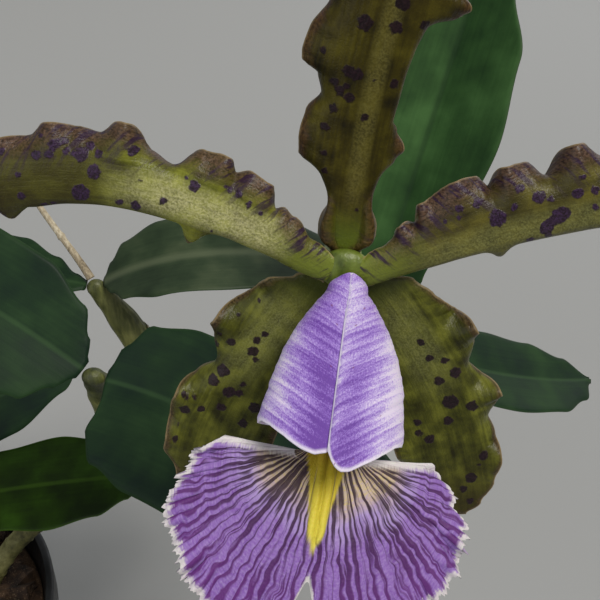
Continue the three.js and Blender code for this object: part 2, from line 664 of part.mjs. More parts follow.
// The lip: two side lobes wrapped into a tube over the column, and a wide fan in front of them.
// half and gain are the tube's half width at its foot and what it gains; roof and floor are heights, from
// foot to mouth.
const TUBE = {
  foot: [0.6, -3.5, 2], slope: 37, reach: 26.4, lean: 1, half: 3, gain: 6.7, flare: 3.4, shrink: 5,
  roof: [3.9, 6], floor: [2, 3.6], foldOver: 0.7, overlap: 0.5,
};
const FAN = { origin: [0.1, -19.9, 17.8], neck: 4.2, spread: 92, reach: 27, turn: 3.5 };
const TUBE_ROWS = [0, 0.08, 0.18, 0.3, 0.45, 0.6, 0.75, 0.88, 1];
const TUBE_COLUMNS = [0, 0.14, 0.28, 0.4, 0.5, 0.58, 0.66, 0.75, 0.84, 0.92, 1];
const BACK_EDGE = [[0, 0], [0.5, -0.02], [0.75, -0.07], [1, -0.1]];
const LEFT_EDGE = [[0, 0.78], [0.3, 0.74], [0.5, 0.74], [0.6, 0.8], [0.72, 0.9], [0.86, 0.95], [1, 0.87]];
const RIGHT_EDGE = [[0, 0.78], [0.3, 0.76], [0.5, 0.79], [0.6, 0.86], [0.72, 0.94], [0.86, 0.99], [1, 0.92]];
const FAN_ROWS = [-1, -0.5, 0, 0.16, 0.34, 0.52, 0.68, 0.82, 0.92, 1];
const FAN_SIDE = [3.5, 8, 14, 22, 32, 44, 56, 68, 80, 92];
const FAN_COLUMNS = [...FAN_SIDE.map((degrees) => -degrees).reverse(), 0, ...FAN_SIDE];

function tubePoint(s, p) {
  const slope = radians(TUBE.slope);
  const around = Math.abs(p);
  const sign = Math.sign(p);
  const angle = Math.PI * around;
  const front = along(p < 0 ? LEFT_EDGE : RIGHT_EDGE, around);
  const place = THREE.MathUtils.lerp(along(BACK_EDGE, around), front, s);
  const opened = 1 - Math.pow(1 - THREE.MathUtils.clamp(place, 0, 1), TUBE.flare);
  const half = TUBE.half + TUBE.gain * opened + TUBE.shrink * Math.min(place, 0);
  const roof = THREE.MathUtils.lerp(...TUBE.roof, place);
  const floor = THREE.MathUtils.lerp(...TUBE.floor, place);
  const fold = THREE.MathUtils.smoothstep(around, 0.8, 1);
  const narrow = 1 - 0.5 * place * Math.max(0, Math.cos(angle));
  const across = sign * (half * Math.pow(Math.sin(angle), 0.8) * narrow - TUBE.foldOver * fold);
  const rise = Math.cos(angle);
  const above = TUBE.overlap * sign * fold * THREE.MathUtils.smoothstep(place, 0, 0.25);
  const lift = above - Math.sign(rise) * Math.pow(Math.abs(rise), 0.85) * (rise > 0 ? floor : roof);
  const [x, y, z] = TUBE.foot;
  const run = place * TUBE.reach;
  return inFlower([
    x + across - TUBE.lean * place,
    y - run * Math.sin(slope) + lift * Math.cos(slope),
    z + run * Math.cos(slope) + lift * Math.sin(slope),
  ]);
}

function fanPoint(g, degrees) {
  const turn = radians(degrees);
  const wide = Math.abs(degrees) / FAN.spread;
  const notch = Math.exp(-Math.pow(degrees / 6, 2));
  const reach = FAN.reach * (1 - 0.44 * Math.pow(wide, 3.4)) * (1 - 0.34 * notch);
  const spread = Math.max(g, 0);
  const across = Math.sin(turn) * (FAN.neck + (reach - FAN.neck) * spread) * (g < 0 ? 1 + 0.12 * g : 1);
  const forward = g < 0 ? 6 * g : Math.cos(turn) * reach * spread;
  const steps = 10;
  let out = 0;
  let down = 0;
  for (let k = 0; k < steps; k += 1) {
    const y = (forward * (k + 0.5)) / steps;
    const angle = radians(along([[-6, 36], [0, 38], [6, 48], [25, 64]], y));
    out += (Math.cos(angle) * forward) / steps;
    down += (Math.sin(angle) * forward) / steps;
  }
  const wave = 0.7 * Math.pow(spread, 3) * Math.sin(turn * 7);
  const curl = -0.006 * across * across + wave;
  const swing = radians(FAN.turn);
  const [x, y, z] = FAN.origin;
  const drop = curl * 0.6 - down;
  return inFlower([
    x + across * Math.cos(swing) + drop * Math.sin(swing),
    y - across * Math.sin(swing) + drop * Math.cos(swing),
    z + out + curl * 0.8,
  ]);
}

function buildLip() {
  const columns = [...TUBE_COLUMNS.slice(1).reverse().map((p) => -p), ...TUBE_COLUMNS];
  const tube = sheet(TUBE_ROWS.map((s) => columns.map((p) => tubePoint(s, p))), () => LIP_THICKNESS);
  const fan = sheet(FAN_ROWS.map((g) => FAN_COLUMNS.map((d) => fanPoint(g, d))), () => LIP_THICKNESS + 0.1);
  return geometryOf(solidFrom(tube).add(solidFrom(fan)));
}

// The column runs through the tube and ends in its cap.
const COLUMN = { foot: [0, -0.3, -0.5], reach: 19 };

function columnRib() {
  const slope = radians(TUBE.slope);
  const place = (run) => inFlower([
    COLUMN.foot[0] - run * 0.02,
    COLUMN.foot[1] - run * Math.sin(slope),
    COLUMN.foot[2] + run * Math.cos(slope),
  ]);
  return new Rib([0, 1 / 3, 2 / 3, 1].map((s) => place(s * COLUMN.reach)), RIGHT);
}

function buildColumn() {
  const profile = [[0, 0], [0, 1.2], [0.2, 1.3], [0.45, 1.8], [0.7, 2.4], [0.92, 2.4], [1, 2.1], [1, 0]];
  return turned(columnRib(), profile, 12);
}

function buildCap() {
  const profile = [[1, 0, GAP], [1, 1.9, GAP], [1, 2, 1.2], [1, 1.4, 2.3], [1, 0, 2.7]];
  return turned(columnRib(), profile, 12);
}

add('pot', buildPot(), FINISH.pot);
add('bark_medium', buildMedium(), FINISH.medium);
add('rhizome', buildRhizome(), FINISH.rhizome);
for (const [name, growth] of Object.entries(GROWTHS)) {
  add(`pseudobulb_${name}`, buildBulb(growth), FINISH.bulb);
}
for (const leaf of LEAVES) {
  add(leaf.name, buildLeaf(leaf), leaf.young ? FINISH.youngLeaf : FINISH.leaf);
}
SOIL_ROOTS.forEach((points, k) => add(`soil_root_${k + 1}`, buildRoot(points), FINISH.root));
AIR_ROOTS.forEach((points, k) => add(`air_root_${k + 1}`, buildRoot(points), FINISH.root));
add('new_shoot', buildShoot(), FINISH.youngLeaf);
add('old_flower_stalk', buildOldStalk(), FINISH.sheath);
add('flower_stem', buildStem(), FINISH.stem);
add('flower_sheath', buildSheath(), FINISH.sheath);
for (const tepal of TEPALS) {
  add(tepal.name, buildTepal(tepal), FINISH.tepal);
}
add('lip', buildLip(), FINISH.lip);
add('column', buildColumn(), FINISH.column);
add('anther_cap', buildCap(), FINISH.column);

export default plant;
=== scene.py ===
import math
from functools import partial

import bpy
import numpy as np
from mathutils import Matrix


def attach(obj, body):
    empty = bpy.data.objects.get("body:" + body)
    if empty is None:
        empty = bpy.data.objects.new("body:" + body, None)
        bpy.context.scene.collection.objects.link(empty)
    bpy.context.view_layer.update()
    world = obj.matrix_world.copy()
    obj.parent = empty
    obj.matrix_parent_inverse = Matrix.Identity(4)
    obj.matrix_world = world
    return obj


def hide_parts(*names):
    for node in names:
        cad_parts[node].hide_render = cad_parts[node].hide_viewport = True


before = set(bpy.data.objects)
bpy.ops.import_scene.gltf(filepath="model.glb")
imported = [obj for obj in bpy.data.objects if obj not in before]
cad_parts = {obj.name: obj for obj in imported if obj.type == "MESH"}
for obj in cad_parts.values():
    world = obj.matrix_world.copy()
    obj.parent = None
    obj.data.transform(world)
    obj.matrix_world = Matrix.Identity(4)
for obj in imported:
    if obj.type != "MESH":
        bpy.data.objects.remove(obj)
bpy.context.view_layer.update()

mm = 0.001

# the camera stands in front of the flower, looks down at it and takes in the leaves behind
cameraFacts = {"place": (162.6, -203.8, 378.0), "pitchDown": 34.2, "lens": 54, "sensor": 36}


def linear(hexColour):   # sRGB hex to the linear colour that shaders take
    values = [int(hexColour[k:k + 2], 16) / 255 for k in (1, 3, 5)]
    return tuple(v / 12.92 if v <= 0.04045 else ((v + 0.055) / 1.055) ** 2.4 for v in values) + (1.0,)


def addNode(tree, kind, inputs=(), ramp=(), **settings):   # one node with its settings and links
    whole = kind.startswith(("Geometry", "Function", "NodeGroup"))
    node = tree.nodes.new(kind if whole else "ShaderNode" + kind)
    for name, value in settings.items():
        setattr(node, name, value)
    for socket, value in inputs.items() if isinstance(inputs, dict) else enumerate(inputs):
        if hasattr(value, "outputs"):
            value = next(s for s in value.outputs if s.enabled)
        if hasattr(value, "is_output"):
            tree.links.new(value, node.inputs[socket])
        else:
            node.inputs[socket].default_value = value
    for k, (place, colour) in enumerate(ramp):
        stops = node.color_ramp.elements
        stop = stops[k] if k < 2 else stops.new(place)
        stop.position = place
        stop.color = linear(colour)
    return node


def newObject(name, data):
    made = bpy.data.objects.new(name, data)
    bpy.context.scene.collection.objects.link(made)
    return made


camera = newObject("camera", bpy.data.cameras.new("camera"))
camera.location = [v * mm for v in cameraFacts["place"]]
camera.rotation_euler = (math.radians(90 - cameraFacts["pitchDown"]), 0, 0)
camera.data.lens = cameraFacts["lens"]
camera.data.sensor_width = cameraFacts["sensor"]
camera.data.clip_start = 0.01
bpy.context.scene.camera = camera
bpy.context.scene.view_settings.view_transform = "Standard"   # colours come out as the photograph's do
print("camera set")


# forms: curves, sheets and turned bodies, worked out in mm

def unit(v):
    return v / np.maximum(np.linalg.norm(v, axis=-1, keepdims=True), 1e-12)


def smooth(x, low, high):
    s = np.clip((np.asarray(x, float) - low) / (high - low), 0, 1)
    return s * s * (3 - 2 * s)


def along(knots, t):   # a smooth value read from (position, value) pairs
    k = np.array(knots, float)
    t = np.asarray(t, float)
    i = np.clip(np.searchsorted(k[:, 0], t, side="left") - 1, 0, len(k) - 2)
    return k[i, 1] + (k[i + 1, 1] - k[i, 1]) * smooth((t - k[i, 0]) / (k[i + 1, 0] - k[i, 0]), 0, 1)


def wander(x, seed, octaves=1):   # a smooth random wave between about -1 and 1, the same on every run
    table = np.random.default_rng(seed).uniform(-1, 1, 256)
    total = 0
    for k in range(octaves):
        s = np.asarray(x, float) * 2 ** k + 31.7 * k
        i = np.floor(s).astype(int)
        low, high = table[i % 256], table[(i + 1) % 256]
        total = total + (low + (high - low) * smooth(s - i, 0, 1)) / 2 ** k
    return total


def ribFrames(points, face, t):   # a cubic curve with its side and face directions
    p = np.array(points, float)
    t = np.asarray(t, float)[:, None]
    u = 1 - t
    point = u ** 3 * p[0] + 3 * u * u * t * p[1] + 3 * u * t * t * p[2] + t ** 3 * p[3]
    run = unit(u * u * (p[1] - p[0]) + 2 * u * t * (p[2] - p[1]) + t * t * (p[3] - p[2]))
    side = unit(np.cross(run, unit(np.array(face, float))))
    return point, run, side, np.cross(side, run)


def makePiece(name, points, faces, material, fields=None):   # a smooth mesh at the origin, given in mm
    mesh = bpy.data.meshes.new(name)
    mesh.from_pydata((np.asarray(points) * mm).tolist(), [], faces)
    mesh.polygons.foreach_set("use_smooth", [True] * len(mesh.polygons))
    for field, values in (fields or {}).items():
        attribute = mesh.attributes.new(field, "FLOAT", "POINT")
        attribute.data.foreach_set("value", np.asarray(values, np.float32).ravel())
    mesh.materials.append(material)
    mesh.update()
    return newObject(name, mesh)


def sheetNormal(surface):
    return unit(np.cross(np.gradient(surface, axis=1), np.gradient(surface, axis=0)))


def wayTo(point):   # the length of the rib up to each of its points
    return np.concatenate([[0], np.cumsum(np.linalg.norm(np.diff(point, axis=0), axis=1))])[:, None]


def ringWall(rows, sides):   # point numbers of stacked rings, and the faces between them
    index = np.arange(rows * sides).reshape(rows, sides)
    turned = np.roll(index, -1, axis=1)
    wall = np.stack([index[:-1], turned[:-1], turned[1:], index[1:]], -1).reshape(-1, 4).tolist()
    return index, turned, wall


def makeSheet(name, surface, thickness, material, fields=None):   # a thin closed body around rows of points
    rows, columns = surface.shape[:2]
    normal = sheetNormal(surface)
    half = (np.broadcast_to(thickness, (rows, columns)) / 2)[..., None] * normal
    points = np.concatenate([(surface + half).reshape(-1, 3), (surface - half).reshape(-1, 3)])
    index = np.arange(rows * columns).reshape(rows, columns)
    a, b, c, d = index[:-1, :-1], index[:-1, 1:], index[1:, :-1], index[1:, 1:]
    front = np.stack([a, b, d, c], -1).reshape(-1, 4)
    rear = np.stack([a, c, d, b], -1).reshape(-1, 4) + rows * columns
    rim = np.concatenate([index[0, :-1], index[:-1, -1], index[-1, :0:-1], index[:0:-1, 0]])
    after = np.roll(rim, -1)
    edge = np.stack([rim, rim + rows * columns, after + rows * columns, after], -1)
    both = {k: np.concatenate([np.broadcast_to(v, (rows, columns)).ravel()] * 2)
            for k, v in (fields or {}).items()}
    both["rear"] = np.repeat([0.0, 1.0], rows * columns)
    return makePiece(name, points, np.concatenate([front, rear, edge]).tolist(), material, both)


def makeTurned(name, centres, side, face, radii, material, fields=None):   # closed rings along a rib
    rows, sides = radii.shape
    angle = np.linspace(0, 2 * math.pi, sides, endpoint=False)
    rings = (centres[:, None] + radii[..., None]
             * (np.cos(angle)[None, :, None] * side[:, None] - np.sin(angle)[None, :, None] * face[:, None]))
    points = np.concatenate([rings.reshape(-1, 3), centres[:1], centres[-1:]])
    index, turned, wall = ringWall(rows, sides)
    foot = [[rows * sides, int(b), int(a)] for a, b in zip(index[0], turned[0])]
    tip = [[rows * sides + 1, int(a), int(b)] for a, b in zip(index[-1], turned[-1])]
    full = {k: np.append(np.broadcast_to(v, (rows, sides)).ravel(), [np.ravel(v)[0], np.ravel(v)[-1]])
            for k, v in (fields or {}).items()}
    return makePiece(name, points, wall + foot + tip, material, full)


def thinned(facts, rim, reach):   # thickness that lessens within reach of the margin
    return facts["edgeThickness"] + (facts["thickness"] - facts["edgeThickness"]) * smooth(rim, 0, reach)


def settle(piece, slotName, *nodes):   # rides on the root and stands for its CAD nodes
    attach(piece, "root")
    if nodes:
        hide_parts(*nodes)


# materials

def newMaterial(name):
    material = bpy.data.materials.new(name)
    material.use_nodes = True
    material.node_tree.nodes.clear()
    return material, partial(addNode, material.node_tree)


def field(add, name):   # a value carried by the mesh
    return add("Attribute", attribute_name=name).outputs["Fac"]


def layered(add, colour, layers):   # colours laid over a ground one by one, each by its share
    for share, over in layers:
        over = linear(over) if isinstance(over, str) else over
        colour = add("Mix", {0: share, 6: colour, 7: over}, data_type="RGBA")
    return colour


def coat(add, colour, roughness, height, strength, depth, more):   # relief, surface and output
    bump = add("Bump", {"Height": height, "Strength": strength, "Distance": depth})
    add("OutputMaterial", {"Surface": add("BsdfPrincipled",
        {"Base Color": colour, "Roughness": roughness, "Normal": bump, **more})})


# a waxy tepal: olive ground with fine lengthwise veins, a browned margin with violet streaks, and raised
# maroon spots with a soft ragged rim; the wax gives it a low, even gloss
def waxyTepal(name, look):
    material, add = newMaterial(name)
    length, across, rim, spot = (field(add, n) for n in ("lengthMm", "acrossMm", "rimMm", "spotMm"))
    flat = add("CombineXYZ", [across, length, look["seed"]])
    squeeze = add("Math", [length, 0.07], operation="MULTIPLY")
    lengthwise = add("CombineXYZ", [across, squeeze, look["seed"]])
    # veins stand about 0.7 mm apart
    veins = add("TexNoise", {"Vector": lengthwise, "Scale": 1.5, "Detail": 3.0})
    cloud = add("TexNoise", {"Vector": flat, "Scale": 0.28, "Detail": 3.0})
    grain = add("TexNoise", {"Vector": flat, "Scale": 3.4, "Detail": 2.0})   # cells of 0.3 mm
    tone = add("Math", [veins, 0.45, cloud], operation="MULTIPLY_ADD")
    ground = add("ValToRGB", [tone], ramp=[(0.5, look["dark"]), (0.72, look["ground"]),
        (0.92, look["light"])])
    # the narrow foot is clear pale green
    footShare = add("MapRange", [length, look["footEnd"], 1.0, 0.0, 1.0], interpolation_type="SMOOTHSTEP")
    # the outer end is duller and browner
    duskFrom, duskTo = look["dusk"]
    duskShare = add("MapRange", [length, duskFrom, duskTo, 0.0, 0.75], interpolation_type="SMOOTHSTEP")
    # a painted sheen: a grainy pale highlight along the raised middle
    band = add("Math", [across, look["sheenAt"]], operation="SUBTRACT")
    bandSquare = add("Math", [band, band], operation="MULTIPLY")
    bandShare = add("MapRange", [bandSquare, 0.0, look["sheenWidth"] ** 2, 1.0, 0.0])
    grainy = add("MapRange", [grain, 0.35, 0.68, 0.35, 1.0])
    sheenShare = add("Math", [bandShare, grainy], operation="MULTIPLY")
    sheenFrom, sheenTo = look["sheenReach"]
    sheenStart = add("MapRange", [length, sheenFrom, sheenFrom + 6.0, 0.0, look["paintedSheen"]])
    sheenStop = add("MapRange", [length, sheenTo - 9.0, sheenTo, 1.0, 0.0])
    sheenAlong = add("Math", [sheenStart, sheenStop], operation="MULTIPLY")
    sheenPart = add("Math", [sheenShare, sheenAlong], operation="MULTIPLY")
    # browning from the margin, wider on one side than on the other
    onSide = add("MapRange", [across, -0.8, 0.8, look["brownLeft"], look["brownRight"]])
    footBrown = add("MapRange", [length, 6.0, 12.0, look["footBrown"], 1.0])
    brownWidth = add("Math", [onSide, footBrown], operation="MULTIPLY")
    ragged = add("Math", [cloud, 2.4, -1.2], operation="MULTIPLY_ADD")
    rimNoisy = add("Math", [rim, ragged], operation="ADD")
    rimShare = add("Math", [rimNoisy, brownWidth], operation="DIVIDE")
    brownFrom, brownTo = look["brownStart"]
    notFoot = add("MapRange", [length, brownFrom, brownTo, 0.0, look["brown"]])
    brownRaw = add("MapRange", [rimShare, 0.25, 1.0, 1.0, 0.0], interpolation_type="SMOOTHSTEP")
    brownShare = add("Math", [brownRaw, notFoot], operation="MULTIPLY")
    brownTone = add("ValToRGB", [grain], ramp=[(0.3, look["brownDark"]), (0.7, look["brownLight"])])
    # violet streaks lie aslant in the browned part
    slant = add("Math", [across, look["slant"], length], operation="MULTIPLY_ADD")
    slow = add("Math", [across, 0.22], operation="MULTIPLY")
    streakPlace = add("CombineXYZ", [slant, slow, look["seed"] + 3.0])
    streak = add("TexNoise", {"Vector": streakPlace, "Scale": 0.85, "Detail": 4.0, "Roughness": 0.62})
    streakLine = add("MapRange", [streak, 0.52, 0.6])
    streakZone = add("MapRange", [rimShare, 0.5, 1.45, 1.0, 0.0])
    streakHere = add("Math", [streakLine, streakZone], operation="MULTIPLY")
    streakShare = add("Math", [streakHere, look["streaks"]], operation="MULTIPLY")
    # spots, ragged by 0.3 mm, with a few freckles
    fray = add("TexNoise", {"Vector": flat, "Scale": 1.3, "Detail": 3.0})
    frayed = add("Math", [fray, 1.1, -0.55], operation="MULTIPLY_ADD")
    spotPlace = add("Math", [spot, frayed], operation="ADD")
    spotShare = add("MapRange", [spotPlace, -0.12, 0.14, 0.96, 0.0], interpolation_type="SMOOTHSTEP")
    spotTone = add("ValToRGB", [grain], ramp=[(0.35, look["spotDark"]), (0.75, look["spotLight"])])
    # the cut edge is thin and catches the light
    edgeShare = add("MapRange", [rim, 0.08, 0.32, 0.55, 0.0])
    rearSide = add("Math", [field(add, "rear"), 0.6], operation="MULTIPLY")
    coloured = layered(add, ground, [(footShare, look["foot"]), (duskShare, look["duskColour"]),
        (sheenPart, look["sheenColour"]), (brownShare, brownTone), (streakShare, look["streakColour"]),
        (spotShare, spotTone), (edgeShare, look["edge"]), (rearSide, look["rearColour"])])
    relief = add("Math", [veins, 1.6, grain], operation="MULTIPLY_ADD")
    raised = add("Math", [spotShare, 0.7, relief], operation="MULTIPLY_ADD")
    gloss = add("MapRange", [grain, 0.3, 0.7, look["roughness"], look["roughness"] + 0.16])
    coat(add, coloured, gloss, raised, 0.45, 0.00022, {
        "IOR": 1.42, "Specular IOR Level": look["wax"], "Subsurface Weight": 0.1,
        "Subsurface Radius": (1.0, 0.9, 0.3), "Subsurface Scale": 0.0012})
    return material


# the side lobes of the lip: velvety lilac with slanting veins, paler outward, and a whitish rim of 0.5 mm,
# partly the pale margin and partly a painted highlight along the seam
def velvetLobe(name, look):
    material, add = newMaterial(name)
    slant, around, rim, deep = (field(add, n) for n in ("slantMm", "aroundMm", "rimMm", "deep"))
    flat = add("CombineXYZ", [slant, around, 0.0])
    squeeze = add("Math", [around, 0.13], operation="MULTIPLY")
    lines = add("CombineXYZ", [slant, squeeze, 4.0])
    veins = add("TexNoise", {"Vector": lines, "Scale": 1.05, "Detail": 3.0, "Roughness": 0.55,
        "Distortion": 0.2})
    # the veins stand about 1.3 mm apart
    sway = add("Math", [veins, 9.0], operation="MULTIPLY")
    phase = add("Math", [slant, 2 * math.pi / 1.3, sway], operation="MULTIPLY_ADD")
    wave = add("Math", [phase], operation="SINE")
    banded = add("Math", [wave, look["bandShare"], veins], operation="MULTIPLY_ADD")
    cloud = add("TexNoise", {"Vector": flat, "Scale": 0.22, "Detail": 3.0})
    sugar = add("TexNoise", {"Vector": flat, "Scale": 4.2, "Detail": 2.0})   # 0.25 mm papillae
    tone = add("Math", [banded, look["bands"], deep], operation="MULTIPLY_ADD")
    clouded = add("Math", [cloud, 0.5, tone], operation="MULTIPLY_ADD")
    speckled = add("Math", [sugar, look["sugar"], clouded], operation="MULTIPLY_ADD")
    middle = (look["bands"] + 0.5 + look["sugar"]) / 2
    ground = add("ValToRGB", [add("MapRange", [speckled, middle - 0.5, middle + 0.5])],
        ramp=[(0.1, look["palest"]), (0.33, look["pale"]), (0.55, look["lilac"]), (0.75, look["violet"]),
        (0.95, look["deep"])])
    # the whitish rim: pale margin, brightened along the seam as a painted highlight
    edgeShare = add("MapRange", [rim, 0.12, look["rimWidth"], 0.8, 0.0], interpolation_type="SMOOTHSTEP")
    # a few tiny crimson dots
    dots = add("TexVoronoi", {"Vector": flat, "Scale": 0.42})
    dotShare = add("MapRange", [dots.outputs["Distance"], 0.05, 0.08, 0.6, 0.0])
    coloured = layered(add, ground, [(edgeShare, look["rim"]), (dotShare, look["dot"])])
    relief = add("Math", [veins, 2.0, sugar], operation="MULTIPLY_ADD")
    coat(add, coloured, 0.62, relief, 0.4, 0.0002, {
        "IOR": 1.4, "Subsurface Weight": 0.2, "Subsurface Radius": (1.0, 0.6, 1.0),
        "Subsurface Scale": 0.0012, "Sheen Weight": 0.15, "Sheen Roughness": 0.4})
    return material


# the mid-lobe: crimson-purple veins that fork outward, on yellow and cream by the throat and violet beyond,
# with a whitish frill of about 1 mm
def veinedFan(name, look):
    material, add = newMaterial(name)
    fields = ("degrees", "radialMm", "rimMm", "keel", "acrossMm")
    angle, radial, rim, keel, across = (field(add, n) for n in fields)
    flat = add("CombineXYZ", [across, radial, 0.0])
    bend = add("TexNoise", {"Vector": flat, "Scale": 0.32, "Detail": 1.0})
    bent = add("Math", [bend, 5.0, angle], operation="MULTIPLY_ADD")
    layers = []
    for spread, stretch, start, pitch in ((0.3, 0.06, 1.0, 6.4), (0.52, 0.08, 7.0, 3.7)):
        turned = add("Math", [bent, spread], operation="MULTIPLY")
        stretched = add("Math", [radial, stretch], operation="MULTIPLY")
        place = add("CombineXYZ", [turned, stretched, start])
        loose = add("TexNoise", {"Vector": place, "Scale": 1.0, "Detail": 2.0, "Roughness": 0.5})
        # evenly spaced veins, swayed by the loose ones so that they fork and join
        sway = add("Math", [loose, 7.0], operation="MULTIPLY")
        phase = add("Math", [bent, 2 * math.pi / pitch, sway], operation="MULTIPLY_ADD")
        wave = add("Math", [phase], operation="SINE")
        even = add("Math", [wave, 0.13, loose], operation="MULTIPLY_ADD")
        layers.append(even)
    outerShare = add("MapRange", [radial, 7.0, 15.0])
    veins = add("Mix", {0: outerShare, 2: layers[0], 3: layers[1]}, data_type="FLOAT")
    cloud = add("TexNoise", {"Vector": flat, "Scale": 0.25, "Detail": 3.0})
    fine = add("TexNoise", {"Vector": flat, "Scale": 2.6, "Detail": 3.0})
    # the ground runs from cream to violet
    zone = add("Math", [cloud, 7.0, radial], operation="MULTIPLY_ADD")
    ground = add("ValToRGB", [add("MapRange", [zone, 4.0, 30.0])],
        ramp=[(0.0, look["yellow"]), (0.16, look["cream"]), (0.34, look["cream"]), (0.46, look["paleViolet"]),
        (0.6, look["violet"]), (1.0, look["violet"])])
    mottle = add("MapRange", [fine, 0.35, 0.75, 0.0, 0.6])
    veinTone = add("ValToRGB", [add("MapRange", [zone, 4.0, 30.0])],
        ramp=[(0.0, look["veinThroat"]), (0.42, look["veinThroat"]), (0.66, look["veinOuter"]),
        (1.0, look["veinRim"])])
    # they are broader by the throat
    broader = add("MapRange", [radial, 4.0, 15.0, 0.07, 0.0])
    veinHeight = add("Math", [veins, broader], operation="ADD")
    veinRaw = add("MapRange", [veinHeight, 0.42, 0.6, 0.0, 0.95], interpolation_type="SMOOTHSTEP")
    rimFade = add("MapRange", [rim, 0.3, 1.6])
    veinShare = add("Math", [veinRaw, rimFade], operation="MULTIPLY")
    # the yellow tongue between the keels
    keelTone = add("ValToRGB", [add("MapRange", [radial, 0.0, 17.0])],
        ramp=[(0.0, look["keelThroat"]), (0.35, look["keel"]), (1.0, look["keelTip"])])
    frill = add("Math", [fine, 1.6, rim], operation="MULTIPLY_ADD")
    frillShare = add("MapRange", [frill, look["frill"] + 0.3, look["frill"] + 1.3, 0.95, 0.0],
        interpolation_type="SMOOTHSTEP")
    rearSide = add("Math", [field(add, "rear"), 0.75], operation="MULTIPLY")
    coloured = layered(add, ground, [(mottle, look["paleViolet"]), (veinShare, veinTone), (keel, keelTone),
        (frillShare, look["frillColour"]), (rearSide, look["rearColour"])])
    relief = add("Math", [veins, 2.2, fine], operation="MULTIPLY_ADD")
    coat(add, coloured, 0.55, relief, 0.5, 0.0003, {
        "IOR": 1.4, "Subsurface Weight": 0.15, "Subsurface Radius": (1.0, 0.6, 1.0),
        "Subsurface Scale": 0.001, "Sheen Weight": 0.1, "Sheen Roughness": 0.4})
    return material


# a thick leathery leaf: dark blue-green, faintly ribbed lengthwise, with a satin cuticle
def leatheryLeaf(name, look):
    material, add = newMaterial(name)
    length, across, half = (field(add, n) for n in ("lengthMm", "acrossMm", "halfShare"))
    squeeze = add("Math", [length, 0.03], operation="MULTIPLY")
    lines = add("CombineXYZ", [across, squeeze, look["seed"]])
    flat = add("CombineXYZ", [across, length, look["seed"]])
    veins = add("TexNoise", {"Vector": lines, "Scale": 1.1, "Detail": 3.0})   # 1 mm apart
    cloud = add("TexNoise", {"Vector": flat, "Scale": 0.07, "Detail": 4.0})
    grain = add("TexNoise", {"Vector": flat, "Scale": 2.6, "Detail": 2.0})
    tone = add("Math", [veins, 0.16, cloud], operation="MULTIPLY_ADD")
    ground = add("ValToRGB", [tone], ramp=[(0.4, look["dark"]), (0.58, look["green"]), (0.78, look["light"])])
    # the middle crease: a painted highlight along the midrib on most leaves, painted shade in the fold of the
    # upright leaf
    crease = add("Math", [across], operation="ABSOLUTE")
    creaseShare = add("MapRange", [crease, 0.2, look["creaseWidth"], look["crease"], 0.0],
        interpolation_type="SMOOTHSTEP")
    edgeShare = add("MapRange", [half, 0.965, 1.0, 0.0, 0.4])
    rearSide = add("Math", [field(add, "rear"), 0.7], operation="MULTIPLY")
    coloured = layered(add, ground, [(creaseShare, look["creaseLightAndShade"]), (edgeShare, look["edge"]),
        (rearSide, look["rearColour"])])
    relief = add("Math", [veins, 2.0, grain], operation="MULTIPLY_ADD")
    gloss = add("MapRange", [cloud, 0.3, 0.7, look["roughness"], look["roughness"] + 0.12])
    coat(add, coloured, gloss, relief, 0.06, 0.0003, {"IOR": 1.45, "Specular IOR Level": look["specular"]})
    return material


# plant skin for canes, stems, roots, dry sheaths and bark: a mottled ground with lengthwise fibres
def fibrousSkin(name, look):
    material, add = newMaterial(name)
    place = add("TexCoord").outputs["Object"]
    squeezed = add("Mapping", {"Vector": place, "Scale": look["squeeze"]})
    fibres = add("TexNoise", {"Vector": squeezed, "Scale": look["fibres"], "Detail": 4.0})
    cloud = add("TexNoise", {"Vector": place, "Scale": look["cloud"], "Detail": 4.0})
    grain = add("TexNoise", {"Vector": place, "Scale": look["grain"], "Detail": 2.0})
    tone = add("Math", [fibres, 0.6, cloud], operation="MULTIPLY_ADD")
    ground = add("ValToRGB", [tone], ramp=[(0.58, look["dark"]), (0.78, look["mid"]), (1.0, look["light"])])
    speck = add("MapRange", [grain, 0.6, 0.7, 0.0, look["specks"]])
    coloured = layered(add, ground, [(speck, look["speckColour"])])
    relief = add("Math", [fibres, 1.5, grain], operation="MULTIPLY_ADD")
    coat(add, coloured, look["roughness"], relief, look["bump"], 0.0004, {"IOR": 1.45})
    return material


# black injection-moulded polypropylene: near black, satin, with fine scuffs and a little dust
def mouldedPolypropylene(name, look):
    material, add = newMaterial(name)
    place = add("TexCoord").outputs["Object"]
    tall = add("Mapping", {"Vector": place, "Scale": (1.0, 1.0, 0.08)})
    scuffs = add("TexNoise", {"Vector": tall, "Scale": 420.0, "Detail": 3.0})
    dust = add("TexNoise", {"Vector": place, "Scale": 55.0, "Detail": 5.0, "Roughness": 0.65})
    grain = add("TexNoise", {"Vector": place, "Scale": 2600.0, "Detail": 1.0})
    dusty = add("MapRange", [dust, 0.52, 0.74, 0.0, look["dust"]])
    coloured = layered(add, linear(look["black"]), [(dusty, look["dustColour"])])
    gloss = add("MapRange", [scuffs, 0.35, 0.7, 0.34, 0.52])
    relief = add("Math", [scuffs, 1.5, grain], operation="MULTIPLY_ADD")
    coat(add, coloured, gloss, relief, 0.12, 0.0002, {"IOR": 1.49})
    return material


print("materials ready to build")

# the flower's own frame: right, up and out towards the viewer
flower = {"centre": (169.2, -91.5, 306.7), "tiltBack": 3, "lean": 7}
tiltBack, lean = math.radians(flower["tiltBack"]), math.radians(flower["lean"])
outward = np.array([0, -math.cos(tiltBack), math.sin(tiltBack)])
risen = np.array([0, math.sin(tiltBack), math.cos(tiltBack)])
upward = risen * math.cos(lean) + np.array([math.sin(lean), 0, 0])
rightward = np.array([math.cos(lean), 0, 0]) - risen * math.sin(lean)


def inFlower(place):
    p = np.asarray(place, float)
    return np.array(flower["centre"]) + p[..., :1] * rightward + p[..., 1:2] * upward + p[..., 2:3] * outward
